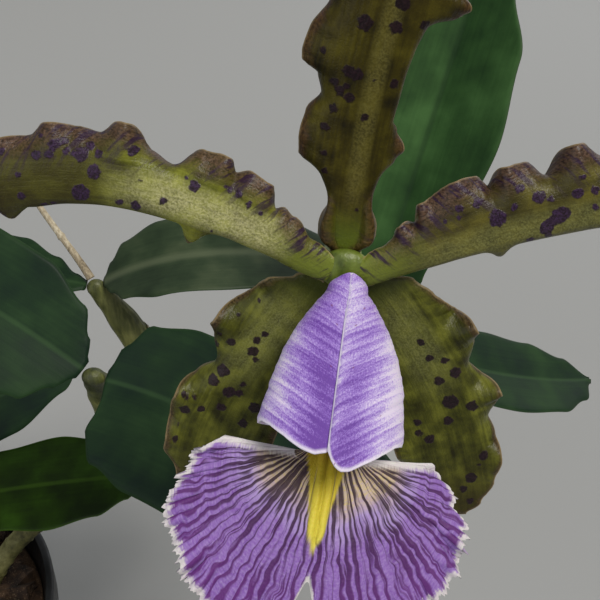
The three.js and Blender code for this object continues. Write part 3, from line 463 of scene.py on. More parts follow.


# sepals and petals: rib is the midline, wide the half width, open 1 where a margin lies flat and 0 where it
# is rolled behind; spots are (way along, way across, radius), all in mm
# the sheen keys paint a highlight, a grainy pale band along each tepal's middle
petalLook = {"seed": 1.0, "dark": "#35340f", "ground": "#63661e", "light": "#84872d", "foot": "#6c772a",
    "footEnd": 13.0, "dusk": (34.0, 45.0), "duskColour": "#362e10", "sheenAt": 0.6, "sheenWidth": 3.4,
    "paintedSheen": 0.6, "sheenReach": (6.0, 48.0), "sheenColour": "#a4a662", "brownLeft": 1.3, "brownRight": 4.8,
    "brownStart": (1.0, 8.0), "brown": 0.92, "brownDark": "#24150f", "brownLight": "#614939", "slant": 0.6,
    "streaks": 0.9, "streakColour": "#2b1830", "spotDark": "#1d0f1c", "spotLight": "#3d2749",
    "edge": "#97835f", "rearColour": "#4c4a20", "footBrown": 1.0, "roughness": 0.3, "wax": 0.3}
dorsalLook = dict(petalLook, seed=4.0, dark="#1b1703", ground="#342e05", light="#49430d", foot="#56611d",
    footEnd=9.0, dusk=(30.0, 46.0), duskColour="#3b320e", sheenAt=0.4, sheenWidth=1.7, paintedSheen=0.7,
    sheenReach=(5.0, 46.0), sheenColour="#6a6430", brownLeft=1.9, brownRight=2.2, brownStart=(0.0, 0.6),
    brown=0.85, streaks=0.25, brownDark="#2a1a0c", brownLight="#5a4226", spotDark="#12080e",
    spotLight="#26141c", footBrown=1.55, wax=0.2)
lateralLook = dict(petalLook, seed=7.0, dark="#232305", ground="#444611", light="#646621", foot="#434a18",
    footEnd=8.0, dusk=(34.0, 48.0), duskColour="#332c0e", sheenAt=2.2, sheenWidth=4.2, paintedSheen=0.52,
    sheenReach=(3.0, 26.0), sheenColour="#8b8d56", brownLeft=1.3, brownRight=1.3, brown=0.85, streaks=0.1,
    brownDark="#241608", brownLight="#58462a", spotDark="#150a10", spotLight="#2c1a26")
plainEnd = [(0.9, 0.9), (1, 1)]
tepals = {
    "dorsal_sepal": {"look": dorsalLook, "rib": [(-0.1, 1.9, -2.2), (-1.6, 18, -2.4), (-0.6, 33, -3),
        (2.4, 50, -4)], "roll": 140, "arch": 20, "flat": 0.3, "footFlaps": 1.3,
        "wideLeft": [(0, 2.2), (0.06, 4.3), (0.17, 4.6), (0.3, 8.6), (0.45, 8.6), (0.6, 10.2), (0.7, 9.6),
        (0.85, 8), (0.95, 5.5), (1, 1.6)],
        "openLeft": [(0, 1), (0.08, 0.9), (0.17, 0.25), (0.24, 0.2), (0.3, 0.85), (0.36, 0.95), (0.42, 0.8),
        (0.48, 0.4), (0.53, 0.5), (0.57, 0.95), (0.65, 0.9), (0.72, 0.6), (0.8, 0.9), (0.87, 0.5),
        (0.93, 0.9), (1, 1)],
        "wideRight": [(0, 2.2), (0.06, 4.4), (0.17, 4.6), (0.3, 6.8), (0.4, 7), (0.55, 7.5), (0.7, 8.5),
        (0.79, 11), (0.85, 9), (0.95, 5.5), (1, 1.6)],
        "openRight": [(0, 1), (0.08, 0.95), (0.17, 0.3), (0.25, 0.1), (0.31, 0.7), (0.35, 0.95), (0.4, 0.5),
        (0.44, 0), (0.65, 0), (0.72, 0.3), (0.77, 0.85), (0.8, 1), (0.84, 0.7), (0.9, 0.4), (0.95, 0.9),
        (1, 1)],
        "spots": [(33.3, -2.7, 1), (33.7, 1.3, 0.85), (34.8, 5, 0.7), (36.9, 1.3, 0.9), (28.8, -7.1, 0.45),
        (26.6, -2.1, 0.85), (26.9, -3.4, 0.75), (25.1, -4.7, 0.6), (24.9, -3.1, 0.35), (23.5, -2.4, 0.75),
        (24.1, -3.8, 0.7), (21.6, -4.3, 0.6), (18.9, -5, 0.6), (15.3, -4.6, 0.42), (12.7, -4, 0.45),
        (26.4, 3.1, 0.6), (21.1, 0.1, 0.55), (26.4, 0.4, 0.2), (7.4, 1, 0.2), (41, -3, 0.9), (43, 2, 0.7)]},
    "petal_left": {"look": dict(petalLook, paintedSheen=0.8, sheenColour="#c3bf8a", sheenReach=(6.0, 36.0),
        dusk=(29.0, 39.0), duskColour="#2c220a"),
        "rib": [(-2, 0, 0.7), (-17, 6.5, 1.5), (-30, 13.5, 1), (-54, 6.5, -1)], "roll": 150, "arch": 25,
        "flat": 0.12,
        "wideLeft": [(0, 2.2), (0.1, 3.4), (0.3, 5), (0.45, 6.4), (0.7, 6.5), (0.85, 7.2), (0.95, 6.8),
        (1, 1.6)],
        "openLeft": [(0, 1), (0.1, 0.7), (0.25, 0.2), (0.36, 0.1), (0.44, 0.95), (0.5, 0.2), (0.7, 0.05),
        (0.8, 0.1), (0.9, 0.5), (0.97, 0.95), (1, 1)],
        "wideRight": [(0, 2.2), (0.1, 3.6), (0.18, 5.2), (0.27, 7.6), (0.42, 8.8), (0.6, 8.8), (0.68, 9.6),
        (0.84, 8.6), (0.95, 6.6), (1, 1.6)],
        "openRight": [(0, 1), (0.1, 0.6), (0.16, 0.75), (0.21, 0.7), (0.24, 0.3), (0.29, 0.95), (0.34, 0.9),
        (0.385, 0.55), (0.42, 0.95), (0.48, 0.8), (0.55, 0.12), (0.61, 0.4), (0.67, 1), (0.735, 0.55),
        (0.78, 0.7), (0.83, 0.95), (0.88, 0.6), (0.94, 0.9), (1, 1)],
        "spots": [(41.4, 5.8, 0.8), (40.4, 6, 0.6), (43.8, 4.1, 0.65), (42.1, 4.2, 0.6), (41.6, 4.8, 0.4),
        (39.9, 4.7, 0.5), (39, 4.5, 0.4), (38.1, 4.4, 0.9), (37, 5.6, 0.65), (35.9, 4.7, 0.6),
        (31.8, 5.9, 0.65), (36.3, 2.3, 0.95), (38.3, -0.9, 1.25), (43, 6.7, 0.3), (35.9, 8.2, 0.35),
        (30.2, 2.1, 0.2), (46.8, 1.6, 0.33), (47.1, -1.6, 0.55), (44.3, -3.5, 0.6), (42.8, -3.1, 0.4),
        (49.2, -6.3, 0.5), (51.4, -5.2, 0.45), (48.7, 4.7, 0.45), (32.7, -1.6, 0.55), (30.2, -1.7, 0.75),
        (26.6, 0, 0.6), (23.1, 3.4, 0.7), (33.3, 5.8, 0.27), (17.3, 4.5, 0.5), (15.6, 3.7, 0.5),
        (18.6, 4.5, 0.42), (19.5, 4.8, 0.35), (13.6, 3.3, 0.35), (24.3, 4.1, 0.33), (18.8, -2, 0.2)]},
    # the right petal's darker ground and weaker sheen than the left one's are painted shade
    "petal_right": {"look": dict(petalLook, seed=11.0, dark="#2c270c", ground="#443f17", light="#5b551f",
        brownLeft=5.0, brownRight=1.4, sheenAt=0.8, paintedSheen=0.35, slant=-0.6),
        "rib": [(2.1, -0.2, 0.7), (15, 6.5, 1.5), (27, 14.5, 1), (52, 18.5, -1)], "roll": 150, "arch": 25,
        "flat": 0.12,
        "wideLeft": [(0, 2.2), (0.1, 3.6), (0.17, 5.4), (0.27, 7.8), (0.38, 9.2), (0.52, 9.2), (0.7, 10),
        (0.85, 8.8), (0.95, 6.6), (1, 1.6)],
        "openLeft": [(0, 1), (0.1, 0.6), (0.15, 0.5), (0.185, 0.95), (0.235, 0.4), (0.265, 0.95), (0.3, 0.85),
        (0.385, 1), (0.44, 0.8), (0.47, 0.45), (0.52, 0.95), (0.57, 0.8), (0.625, 0.3), (0.69, 1),
        (0.76, 0.5), (0.83, 0.95), (0.89, 0.5), (0.95, 0.9), (1, 1)],
        "wideRight": [(0, 2.2), (0.1, 3.2), (0.3, 5), (0.45, 6), (0.7, 6.8), (0.85, 7.2), (0.95, 6),
        (1, 1.6)],
        "openRight": [(0, 1), (0.1, 0.6), (0.3, 0.1), (0.4, 0), (0.46, 0.75), (0.52, 0.05), (0.7, 0.1),
        (0.85, 0.4), (0.93, 0.85), (1, 1)],
        "spots": [(21.3, -2.5, 1.2), (23.8, -3.4, 0.45), (27.4, -3.9, 0.85), (28.9, -3.2, 0.4),
        (29.9, -0.7, 1.3), (27.8, 0.8, 1.05), (28.6, 0, 0.9), (28, 2.2, 0.6), (32.6, -3.2, 0.75),
        (34.8, -0.7, 0.5), (34.8, -3.3, 0.6), (25.4, 2.3, 0.65), (19.2, -5.4, 0.7), (16.8, -5.4, 0.6),
        (25, -5.7, 0.6), (16.4, -4.3, 0.35), (14.4, -4.2, 0.28), (33.4, -5.5, 0.42), (40, -2, 0.9),
        (44, 1.5, 0.7), (42, -4.6, 0.5), (47, -1, 0.5)]},
    "lateral_sepal_left": {"look": lateralLook,
        "rib": [(-1.9, -2.5, -2.4), (-9, -15, -0.8), (-18, -28, 0.6), (-17, -43, 2)],
        "roll": 140, "arch": -8, "flat": 0.3,
        "wideLeft": [(0, 1.7), (0.1, 2.8), (0.3, 6.2), (0.5, 8.3), (0.72, 8.9), (0.85, 8), (0.95, 5.5),
        (1, 1.6)],
        "openLeft": [(0, 1), (0.3, 0.8), (0.5, 0.7), (0.72, 1), (0.8, 0.8)] + plainEnd,
        "wideRight": [(0, 1.9), (0.06, 4.6), (0.13, 7.8), (0.35, 10.4), (0.5, 8.2), (0.65, 9.4), (0.85, 8.2),
        (0.95, 5.5), (1, 1.6)],
        "openRight": [(0, 1), (0.13, 0.95), (0.2, 0.6), (0.27, 0.7), (0.35, 1), (0.42, 0.5), (0.5, 0.1),
        (0.57, 0.45), (0.65, 1), (0.73, 0.75), (0.82, 1), (0.9, 0.8), (1, 1)],
        "spots": [(17.1, 5.9, 0.7), (16.9, 8.1, 0.45), (19.3, 7.5, 0.55), (13.3, 2.4, 0.5), (14.9, 2.8, 0.65),
        (16.8, 2.2, 0.9), (17.8, 1.1, 0.5), (22.1, 4.2, 1), (24.3, 4.7, 0.9), (25, 1.7, 1), (24.5, 0.1, 0.7),
        (22.7, 0.4, 0.5), (28, 1.6, 0.8), (30.5, 6.8, 0.85), (29.4, 4.5, 0.65), (28, 6.4, 0.42),
        (28.5, 7.4, 0.35), (28.2, 8.1, 0.4), (25.8, -3.3, 1), (29.5, -2.9, 0.85), (35.6, 6.8, 0.5),
        (33.4, 6.8, 0.33), (9.4, 6.2, 0.28), (13, 7.6, 0.3), (37, 0, 0.6)]},
    "lateral_sepal_right": {"look": dict(lateralLook, seed=9.0, sheenAt=-2.0), "rib": [(1.9, -2.5, -2.4),
        (11, -12, -0.8), (22, -24, 0.6), (26, -44, 2)], "roll": 140, "arch": -8, "flat": 0.3,
        "wideLeft": [(0, 1.9), (0.06, 5.4), (0.12, 7.6), (0.2, 8.8), (0.38, 11.6), (0.52, 9.8), (0.61, 10.9),
        (0.72, 9), (0.82, 8.3), (0.9, 6.6), (0.96, 4.2), (1, 1.6)],
        "openLeft": [(0, 1), (0.2, 0.95), (0.27, 0.7), (0.32, 0.6), (0.38, 1), (0.44, 0.6), (0.51, 0.35),
        (0.56, 0.5), (0.61, 1), (0.64, 0.7), (0.7, 0.45), (0.76, 0.6), (0.82, 1)] + plainEnd,
        "wideRight": [(0, 1.7), (0.1, 2.8), (0.3, 6.2), (0.5, 8.2), (0.72, 8.7), (0.85, 7.5), (0.95, 5),
        (1, 1.6)],
        "openRight": [(0, 1), (0.3, 0.8), (0.5, 0.7), (0.72, 1), (0.8, 0.8)] + plainEnd,
        "spots": [(14.3, -3, 0.6), (17.3, -2.9, 0.7), (18.8, -4.8, 0.6), (21.5, -5.3, 0.85),
        (21.7, -2.5, 0.85), (25.9, -2.8, 1.25), (27.8, -5.8, 0.9), (29.2, -1.4, 0.8), (27.8, 3.5, 0.65),
        (30, 3.9, 0.65), (31.8, 2.6, 0.9), (37.3, -5.4, 0.8), (38.8, -4.5, 0.33), (41.2, -2.8, 0.9),
        (43.4, -1.3, 0.65), (45.9, -2.3, 0.55), (18.8, 2.6, 0.4)]},
}
tepalSheet = {"rows": 230, "columns": 57, "steps": 24, "thickness": 0.8, "edgeThickness": 0.3,
              "crinkle": 0.16}

for name, tepal in tepals.items():
    t = np.linspace(0, 1, tepalSheet["rows"])
    q = np.linspace(-1, 1, tepalSheet["columns"])
    point, run, side, face = ribFrames(inFlower(tepal["rib"]), outward, t)
    leftSide = q[None, :] < 0
    width = np.where(leftSide, along(tepal["wideLeft"], t)[:, None], along(tepal["wideRight"], t)[:, None])
    opened = np.where(leftSide, along(tepal["openLeft"], t)[:, None], along(tepal["openRight"], t)[:, None])
    share = np.abs(q)[None, :]
    across = np.zeros_like(width)
    behind = np.zeros_like(width)
    for k in range(tepalSheet["steps"]):
        s = share * (k + 0.5) / tepalSheet["steps"]
        angle = np.radians(tepal["arch"] * s + tepal["roll"] * (1 - opened) * smooth(s, tepal["flat"], 1))
        across += np.cos(angle) * share * width / tepalSheet["steps"]
        behind += np.sin(angle) * share * width / tepalSheet["steps"]
    wayAlong = wayTo(point)
    wayAcross = q[None, :] * width
    rim = np.minimum((1 - share) * width, wayAlong[-1] - wayAlong + 0.02)
    # fine crinkles grow towards the margin
    crinkle = tepalSheet["crinkle"] * smooth(share, 0.5, 1) * wander(wayAlong * 0.9 + q[None, :] * 3, 5, 2)
    # two rolled flaps flank the foot of the dorsal sepal
    flap = (tepal.get("footFlaps", 0) * smooth(share, 0.4, 0.72) * smooth(share, 1, 0.84)
            * smooth(wayAlong, 0.3, 2.5) * smooth(wayAlong, 10, 7))
    surface = (point[:, None] + side[:, None] * (across * np.sign(q)[None, :])[..., None]
               - face[:, None] * (behind + crinkle - flap)[..., None])
    spotField = np.full(width.shape, 9.0)
    for spotAlong, spotAcross, radius in tepal["spots"]:
        away = np.hypot(wayAlong - spotAlong, wayAcross - spotAcross)
        spotField = np.minimum(spotField, away - radius)
    skin = waxyTepal("waxy_" + name, tepal["look"])
    piece = makeSheet(name + "_bloom", surface, thinned(tepalSheet, rim, 0.9), skin, {
        "lengthMm": wayAlong, "acrossMm": wayAcross, "rimMm": rim, "spotMm": spotField})
    settle(piece, "tepal", name)
print("tepals made")

# the lip's side lobes, wrapped into a tube with the right lobe's edge over the left one's
tube = {
    "foot": (0.6, -3.5, 2), "slope": 37, "reach": 26.4, "lean": 1, "half": 3, "gain": 6.7, "flare": 3.4,
    "shrink": 5, "roof": (3.9, 6), "floor": (2, 3.6), "foldOver": 0.7, "overlap": 0.22,
    "backEdge": [(0, 0), (0.5, -0.02), (0.75, -0.07), (1, -0.1)],
    "leftEdge": [(0, 0.78), (0.3, 0.74), (0.5, 0.75), (0.6, 0.755), (0.7, 0.79), (0.8, 0.85), (0.88, 0.915),
                 (0.92, 0.935), (0.96, 0.92), (1, 0.86)],
    "rightEdge": [(0, 0.78), (0.3, 0.76), (0.5, 0.81), (0.6, 0.825), (0.7, 0.85), (0.8, 0.905), (0.88, 0.965),
                  (0.93, 1.01), (0.96, 1.015), (0.985, 0.98), (1, 0.91)],
    "rows": 110, "columns": 181, "thickness": 0.6, "edgeThickness": 0.25, "bulge": 0.9, "seamDip": 0.05,
    "veinSlant": 0.62, "ripple": 0.1,
}
lobeLook = {"palest": "#d6cbe0", "pale": "#b9a8d6", "lilac": "#9a7dc6", "violet": "#815db3",
    "deep": "#643a97", "rim": "#efe8f4", "rimWidth": 0.75, "dot": "#6a1f4a", "bands": 1.15, "bandShare": 0.07,
    "sugar": 1.05}

s = np.linspace(0, 1, tube["rows"])[:, None]
p = np.linspace(-1, 1, tube["columns"])[None, :]
around = np.abs(p)
front = np.where(p < 0, np.interp(around, *np.transpose(tube["leftEdge"])),
                 np.interp(around, *np.transpose(tube["rightEdge"])))
place = along(tube["backEdge"], around) * (1 - s) + front * s
turn = math.pi * around
half = (tube["half"] + tube["gain"] * (1 - (1 - np.clip(place, 0, 1)) ** tube["flare"])
        + tube["shrink"] * np.minimum(place, 0) + tube["bulge"] * smooth(place, 0.45, 0.8) * (p < 0))
roof = tube["roof"][0] + (tube["roof"][1] - tube["roof"][0]) * place
floor = tube["floor"][0] + (tube["floor"][1] - tube["floor"][0]) * place
fold = smooth(around, 0.8, 1)
rise = np.cos(turn)
narrow = 1 - 0.5 * place * np.maximum(0, rise)
across = np.sign(p) * (half * np.abs(np.sin(turn)) ** 0.8 * narrow
                       - tube["foldOver"] * (0.3 + 1.4 * np.clip(place, 0, 1)) * fold)
lift = (tube["overlap"] * np.sign(p) * fold * smooth(place, 0, 0.25)
        - np.sign(rise) * np.abs(rise) ** 0.85 * np.where(rise > 0, floor, roof))
# the lobes dip a little to their seam and their slanting veins stand up
lift -= tube["seamDip"] * smooth(around, 0.9, 1) * smooth(place, 0.02, 0.3)
slope = math.radians(tube["slope"])
wayOut = place * tube["reach"]
surface = inFlower(np.stack([
    tube["foot"][0] + across - tube["lean"] * place,
    tube["foot"][1] - wayOut * math.sin(slope) + lift * math.cos(slope),
    tube["foot"][2] + wayOut * math.cos(slope) + lift * math.sin(slope)], -1))
step = np.linalg.norm(np.diff(surface, axis=1), axis=2)
girth = np.concatenate([np.zeros((tube["rows"], 1)), np.cumsum(step, axis=1)], axis=1)
seamDistance = np.where(p < 0, girth, girth[:, -1:] - girth)
frontDistance = (front - place) * tube["reach"]
rim = np.minimum(seamDistance * 2, frontDistance)
slantMm = wayOut + tube["veinSlant"] * seamDistance * np.ones_like(p)
ripple = tube["ripple"] * wander(slantMm * 0.9, 8, 2) * smooth(rim, 0.3, 1.5)
normal = sheetNormal(surface)
surface = surface + normal * ripple[..., None]
# deeper violet by the seam and towards the mouth, paler out to the sides; the left lobe is also painted
# darker as shade and the right one paler as painted light
deep = (0.3 * np.exp(-((seamDistance - 3.2) / 3.2) ** 2) + 0.14 * smooth(place, 0.6, 0.95)
        - 0.2 * smooth(seamDistance, 6, 11) - 0.12 * smooth(place, 0.5, 0.2) + np.where(p < 0, 0.06, -0.15))
lobeSkin = velvetLobe("velvet_side_lobes", lobeLook)
tubePiece = makeSheet("lip_side_lobes", surface, thinned(tube, rim, 0.8), lobeSkin, {
    "slantMm": slantMm, "aroundMm": seamDistance, "rimMm": rim, "deep": deep})
settle(tubePiece, "lip", "lip")

# the mid-lobe: a wide two-lobed fan, toothed and frilled, with two keels down its middle
fan = {"origin": (0.1, -19.9, 17.8), "neck": 4.2, "spread": 92, "reach": 27, "turn": 3.5,
    "dip": [(-6, 36), (0, 38), (6, 48), (25, 64)], "dipSteps": 20, "rows": 96, "columns": 441,
    "thickness": 0.6, "edgeThickness": 0.22, "teeth": 1.5, "toothPitch": 2.4, "finePitch": 0.9, "frill": 0.9,
    "cleftAt": -2.6, "cleftWidth": 5.4, "cleftDepth": 0.34, "taper": 0.44, "keelPlace": 0.75,
    "keelWidth": 0.42, "keelHeight": 0.55, "keelEnd": (11.5, 14.5), "ripple": 0.16}
fanLook = {"yellow": "#bd9c2c", "cream": "#c4b07a", "paleViolet": "#a58ec2", "violet": "#8057a6",
    "veinThroat": "#2a0e22", "veinOuter": "#431450", "veinRim": "#5d2370", "keelThroat": "#98700a",
    "keel": "#c4ae1e", "keelTip": "#d6cb50", "frill": 1.0, "frillColour": "#d3cdcc", "rearColour": "#8f7ca2"}

rowShare = np.linspace(0, 1, fan["rows"])
g = (-1 + 2 * (1 - (1 - rowShare) ** 1.5))[:, None]
degrees = np.linspace(fan["spread"], -fan["spread"], fan["columns"])[None, :]
turn = np.radians(degrees)
wide = np.abs(degrees) / fan["spread"]
notch = np.exp(-((degrees - fan["cleftAt"]) / fan["cleftWidth"]) ** 2)
reach = fan["reach"] * (1 - fan["taper"] * wide ** 3.4) * (1 - fan["cleftDepth"] * notch)
# teeth stand about 1 mm apart and leave the two shoulders smooth
shoulder = np.where(degrees < 0, smooth(-degrees, 90, 80), smooth(degrees, 84, 76))
tooth = np.abs((degrees / fan["toothPitch"] + 0.5 * wander(degrees * 0.4, 21)) % 1 - 0.5) * 2
fineTooth = np.abs((degrees / fan["finePitch"] + 0.5 * wander(degrees * 0.9, 27)) % 1 - 0.5) * 2
ragged = (tooth * (0.6 + 0.5 * wander(degrees / fan["toothPitch"], 22))
          + 0.25 * fineTooth * (1 + wander(degrees / fan["finePitch"], 28))
          + 0.45 * wander(degrees * 0.16, 23) - 0.4)
reach = reach + fan["teeth"] * ragged * shoulder * (1 - notch)
reach = reach + 1.1 * np.exp(-((degrees - 71) / 1.5) ** 2) - 0.9 * np.exp(-((degrees + 79) / 1.4) ** 2)
spread = np.maximum(g, 0)
across = np.sin(turn) * (fan["neck"] + (reach - fan["neck"]) * spread) * np.where(g < 0, 1 + 0.12 * g, 1)
forward = np.where(g < 0, 6 * g, np.cos(turn) * reach * spread)
out = np.zeros_like(forward)
down = np.zeros_like(forward)
for k in range(fan["dipSteps"]):
    angle = np.radians(along(fan["dip"], forward * (k + 0.5) / fan["dipSteps"]))
    out += np.cos(angle) * forward / fan["dipSteps"]
    down += np.sin(angle) * forward / fan["dipSteps"]
wave = 0.7 * spread ** 3 * np.sin(turn * 7)
curl = -0.006 * across ** 2 + wave
# frills stand up at the margin and small corrugations run out to it
frill = fan["frill"] * smooth(spread, 0.72, 1) * wander(degrees * 0.22, 24, 3) * (1 - notch)
corrugation = fan["ripple"] * smooth(spread, 0.1, 0.4) * wander(degrees * 0.34 + spread * 0.6, 25, 2)
middleLine = across + 0.2 + 0.05 * np.maximum(forward, 0)
keelAway = np.abs(np.abs(middleLine) - fan["keelPlace"])
keelEnd = 1 - smooth(forward, *fan["keelEnd"])
keels = fan["keelHeight"] * np.exp(-(keelAway / fan["keelWidth"]) ** 2) * keelEnd
swing = math.radians(fan["turn"])
drop = curl * 0.6 - down
surface = inFlower(np.stack([
    fan["origin"][0] + across * math.cos(swing) + drop * math.sin(swing),
    fan["origin"][1] - across * math.sin(swing) + drop * math.cos(swing),
    fan["origin"][2] + out + curl * 0.8], -1))
normal = sheetNormal(surface)
surface = surface + normal * (frill + corrugation + keels)[..., None]
sideGap = (fan["spread"] - np.abs(degrees)) * np.pi / 180 * np.maximum(spread * reach, 1.5)
rimMm = np.minimum((1 - spread) * reach, sideGap + 3 * (g < 0.05))
radialMm = np.where(g < 0, 6 * g + 3, 3 + reach * spread)
tongue = (1 - smooth(np.abs(middleLine) + 0.19 * np.maximum(forward, 0) + 0.15 * wander(radialMm * 0.5, 26),
                     2.85, 3.15)) * (1 - smooth(forward, 12.5, 14.5))
tongue = tongue * (1 - 0.7 * np.exp(-((np.abs(middleLine) - 1.25) / 0.14) ** 2) * smooth(forward, 1, 4))
fanSkin = veinedFan("veined_mid_lobe", fanLook)
fanPiece = makeSheet("lip_mid_lobe", surface, thinned(fan, rimMm, 1.2), fanSkin, {
    "degrees": degrees + 0 * g, "radialMm": radialMm, "rimMm": rimMm, "keel": tongue, "acrossMm": across})
settle(fanPiece, "lip", "lip")
print("lip made")

# the leaves, two on every growth
# the crease colours paint a highlight along the midrib
leafLook = {"seed": 1.0, "dark": "#13231a", "green": "#1b2f1c", "light": "#263d22", "crease": 0.3,
    "creaseWidth": 1.2, "creaseLightAndShade": "#3f5a36", "edge": "#334a2a", "rearColour": "#2c4122",
    "roughness": 0.42, "specular": 0.12}
youngLook = dict(leafLook, seed=5.0, dark="#142304", green="#1d3204", light="#29450a", creaseLightAndShade="#46661c",
                 edge="#46661c", rearColour="#3c5a1a")
# the upright leaf: a lighter ground, and a dark crease that is painted shade in its deep fold
shadedLook = dict(leafLook, seed=8.0, dark="#1d351a", green="#2b4823", light="#3b5c30", crease=0.5,
    creaseWidth=2.2, creaseLightAndShade="#162a14")
leafTip = [(0.7, 0.9), (0.88, 0.58), (1, 0.07)]
eared = [(0, 0.13), (0.03, 0.5), (0.09, 0.86), (0.22, 1), (0.45, 1)] + leafTip
broad = [(0, 0.13), (0.04, 0.4), (0.1, 0.72), (0.25, 0.97), (0.45, 1)] + leafTip
oval = [(0, 0.13), (0.05, 0.24), (0.15, 0.55), (0.32, 0.88), (0.52, 1), (0.72, 0.9), (0.89, 0.55), (1, 0.07)]
late = [(0, 0.15), (0.1, 0.3), (0.3, 0.6), (0.5, 0.88), (0.68, 1), (0.85, 0.8), (0.94, 0.5), (1, 0.07)]
leaves = {
    "leaf_b_left": {"growth": "b", "start": (-0.78, 0.28, 0.52), "by": (53.6, 1.2, 256),
        "tip": (21.6, 13.2, 259), "half": 19.5, "otherHalf": 22.5, "keel": 7, "face": (0.37, -0.78, 0.51),
        "outline": broad},
    "leaf_b_right": {"growth": "b", "start": (0.9, -0.2, -0.1), "by": (163.6, -48.8, 218),
        "tip": (193.6, -58.8, 212), "half": 26, "otherHalf": 20, "ear": 6.5, "keel": 8,
        "face": (0.06, -0.74, 0.67), "outline": eared},
    "leaf_a_up": {"growth": "a", "start": (0.2, 0.5, 0.84), "by": (202.6, 22.2, 296),
        "tip": (210.6, 36.2, 326), "half": 22, "otherHalf": 20, "keel": 26, "face": (-0.35, -0.85, 0.35),
        "outline": oval},
    "leaf_a_right": {"growth": "a", "start": (0.82, 0.22, -0.5), "by": (232, 6, 204), "tip": (256, 22, 193),
        "half": 14.5, "keel": 10, "face": (0.1, -0.3, 0.95), "outline": oval},
    "leaf_d_right": {"growth": "d", "start": (0.85, 0, 0.52), "by": (153.6, 52.2, 224),
        "tip": (183.6, 54.2, 217), "half": 18, "keel": 8, "face": (0, -0.25, 0.97), "outline": broad},
    "leaf_d_left": {"growth": "d", "start": (-0.98, 0.1, 0.15), "by": (41.6, 58.2, 216),
        "tip": (5.6, 60.2, 204), "half": 17, "keel": 8, "face": (0, -0.25, 0.97), "outline": oval},
    "leaf_f_right": {"growth": "f", "start": (0.85, 0.25, 0.3), "by": (79.6, 11.2, 157),
        "tip": (115.6, 0.2, 173), "half": 16, "keel": 6, "face": (-0.2, -0.45, 0.87), "outline": late,
        "young": True},
    "leaf_f_back": {"growth": "f", "start": (-0.25, 0.8, 0.55), "by": (55.6, 34.2, 168),
        "tip": (84.6, 52.2, 182), "half": 16, "keel": 6, "face": (0.2, -0.8, 0.56), "outline": oval},
    "leaf_g_left": {"growth": "g", "start": (-0.9, 0.1, 0.4), "by": (-84, 86, 212), "tip": (-116, 98, 204),
        "half": 18, "keel": 8, "face": (0.2, -0.4, 0.9), "outline": oval},
    "leaf_g_back": {"growth": "g", "start": (0.35, 0.85, 0.4), "by": (-14, 124, 226), "tip": (-12, 154, 232),
        "half": 18, "keel": 8, "face": (0.1, -0.5, 0.86), "outline": oval},
    "leaf_h_left": {"growth": "h", "start": (-0.9, -0.05, 0.4), "by": (-104, -42, 196),
        "tip": (-134, -54, 182), "half": 17, "keel": 8, "face": (0.1, 0.1, 0.99), "outline": oval},
    "leaf_h_front": {"growth": "h", "start": (0.15, -0.9, 0.4), "by": (-30, -86, 194),
        "tip": (-24, -114, 182), "half": 17, "keel": 8, "face": (0.1, 0.2, 0.97), "outline": oval},
}
dustyLook = dict(leafLook, seed=3.0, dark="#1f2c1c", green="#2c3a26", light="#3f4a33", crease=0.55,
    creaseWidth=3.0, creaseLightAndShade="#59624a", specular=0.2)
leafSheet = {"rows": 90, "columns": 33, "rib": 1.9, "margin": 0.8, "gap": 0.35}
growths = {
    "a": {"foot": (119.6, 22.2, 145.4), "bend": (141.6, 16.2, 180), "apex": (181.3, -11.3, 234.3),
        "radius": 6.4},
    "b": {"foot": (93.6, 42.7, 135.3), "bend": (103.6, 24.2, 178), "apex": (107.6, -16.8, 226),
        "radius": 6.2},
    "d": {"foot": (117.6, 50.7, 138.2), "bend": (113.6, 52.2, 178), "apex": (94.9, 46.2, 213), "radius": 6},
    "f": {"foot": (7.6, -2.8, 92), "bend": (5.6, 0.2, 112), "apex": (7.6, 6.2, 136), "radius": 4.8},
    "g": {"foot": (-8, 46, 91), "bend": (-8, 54, 131), "apex": (-24, 60, 178), "radius": 6.2},
    "h": {"foot": (-26, -10, 92), "bend": (-30, -6, 128), "apex": (-44, -18, 168), "radius": 5.8},
}
capRadius = 3.2   # of a cane's foot and of its apex

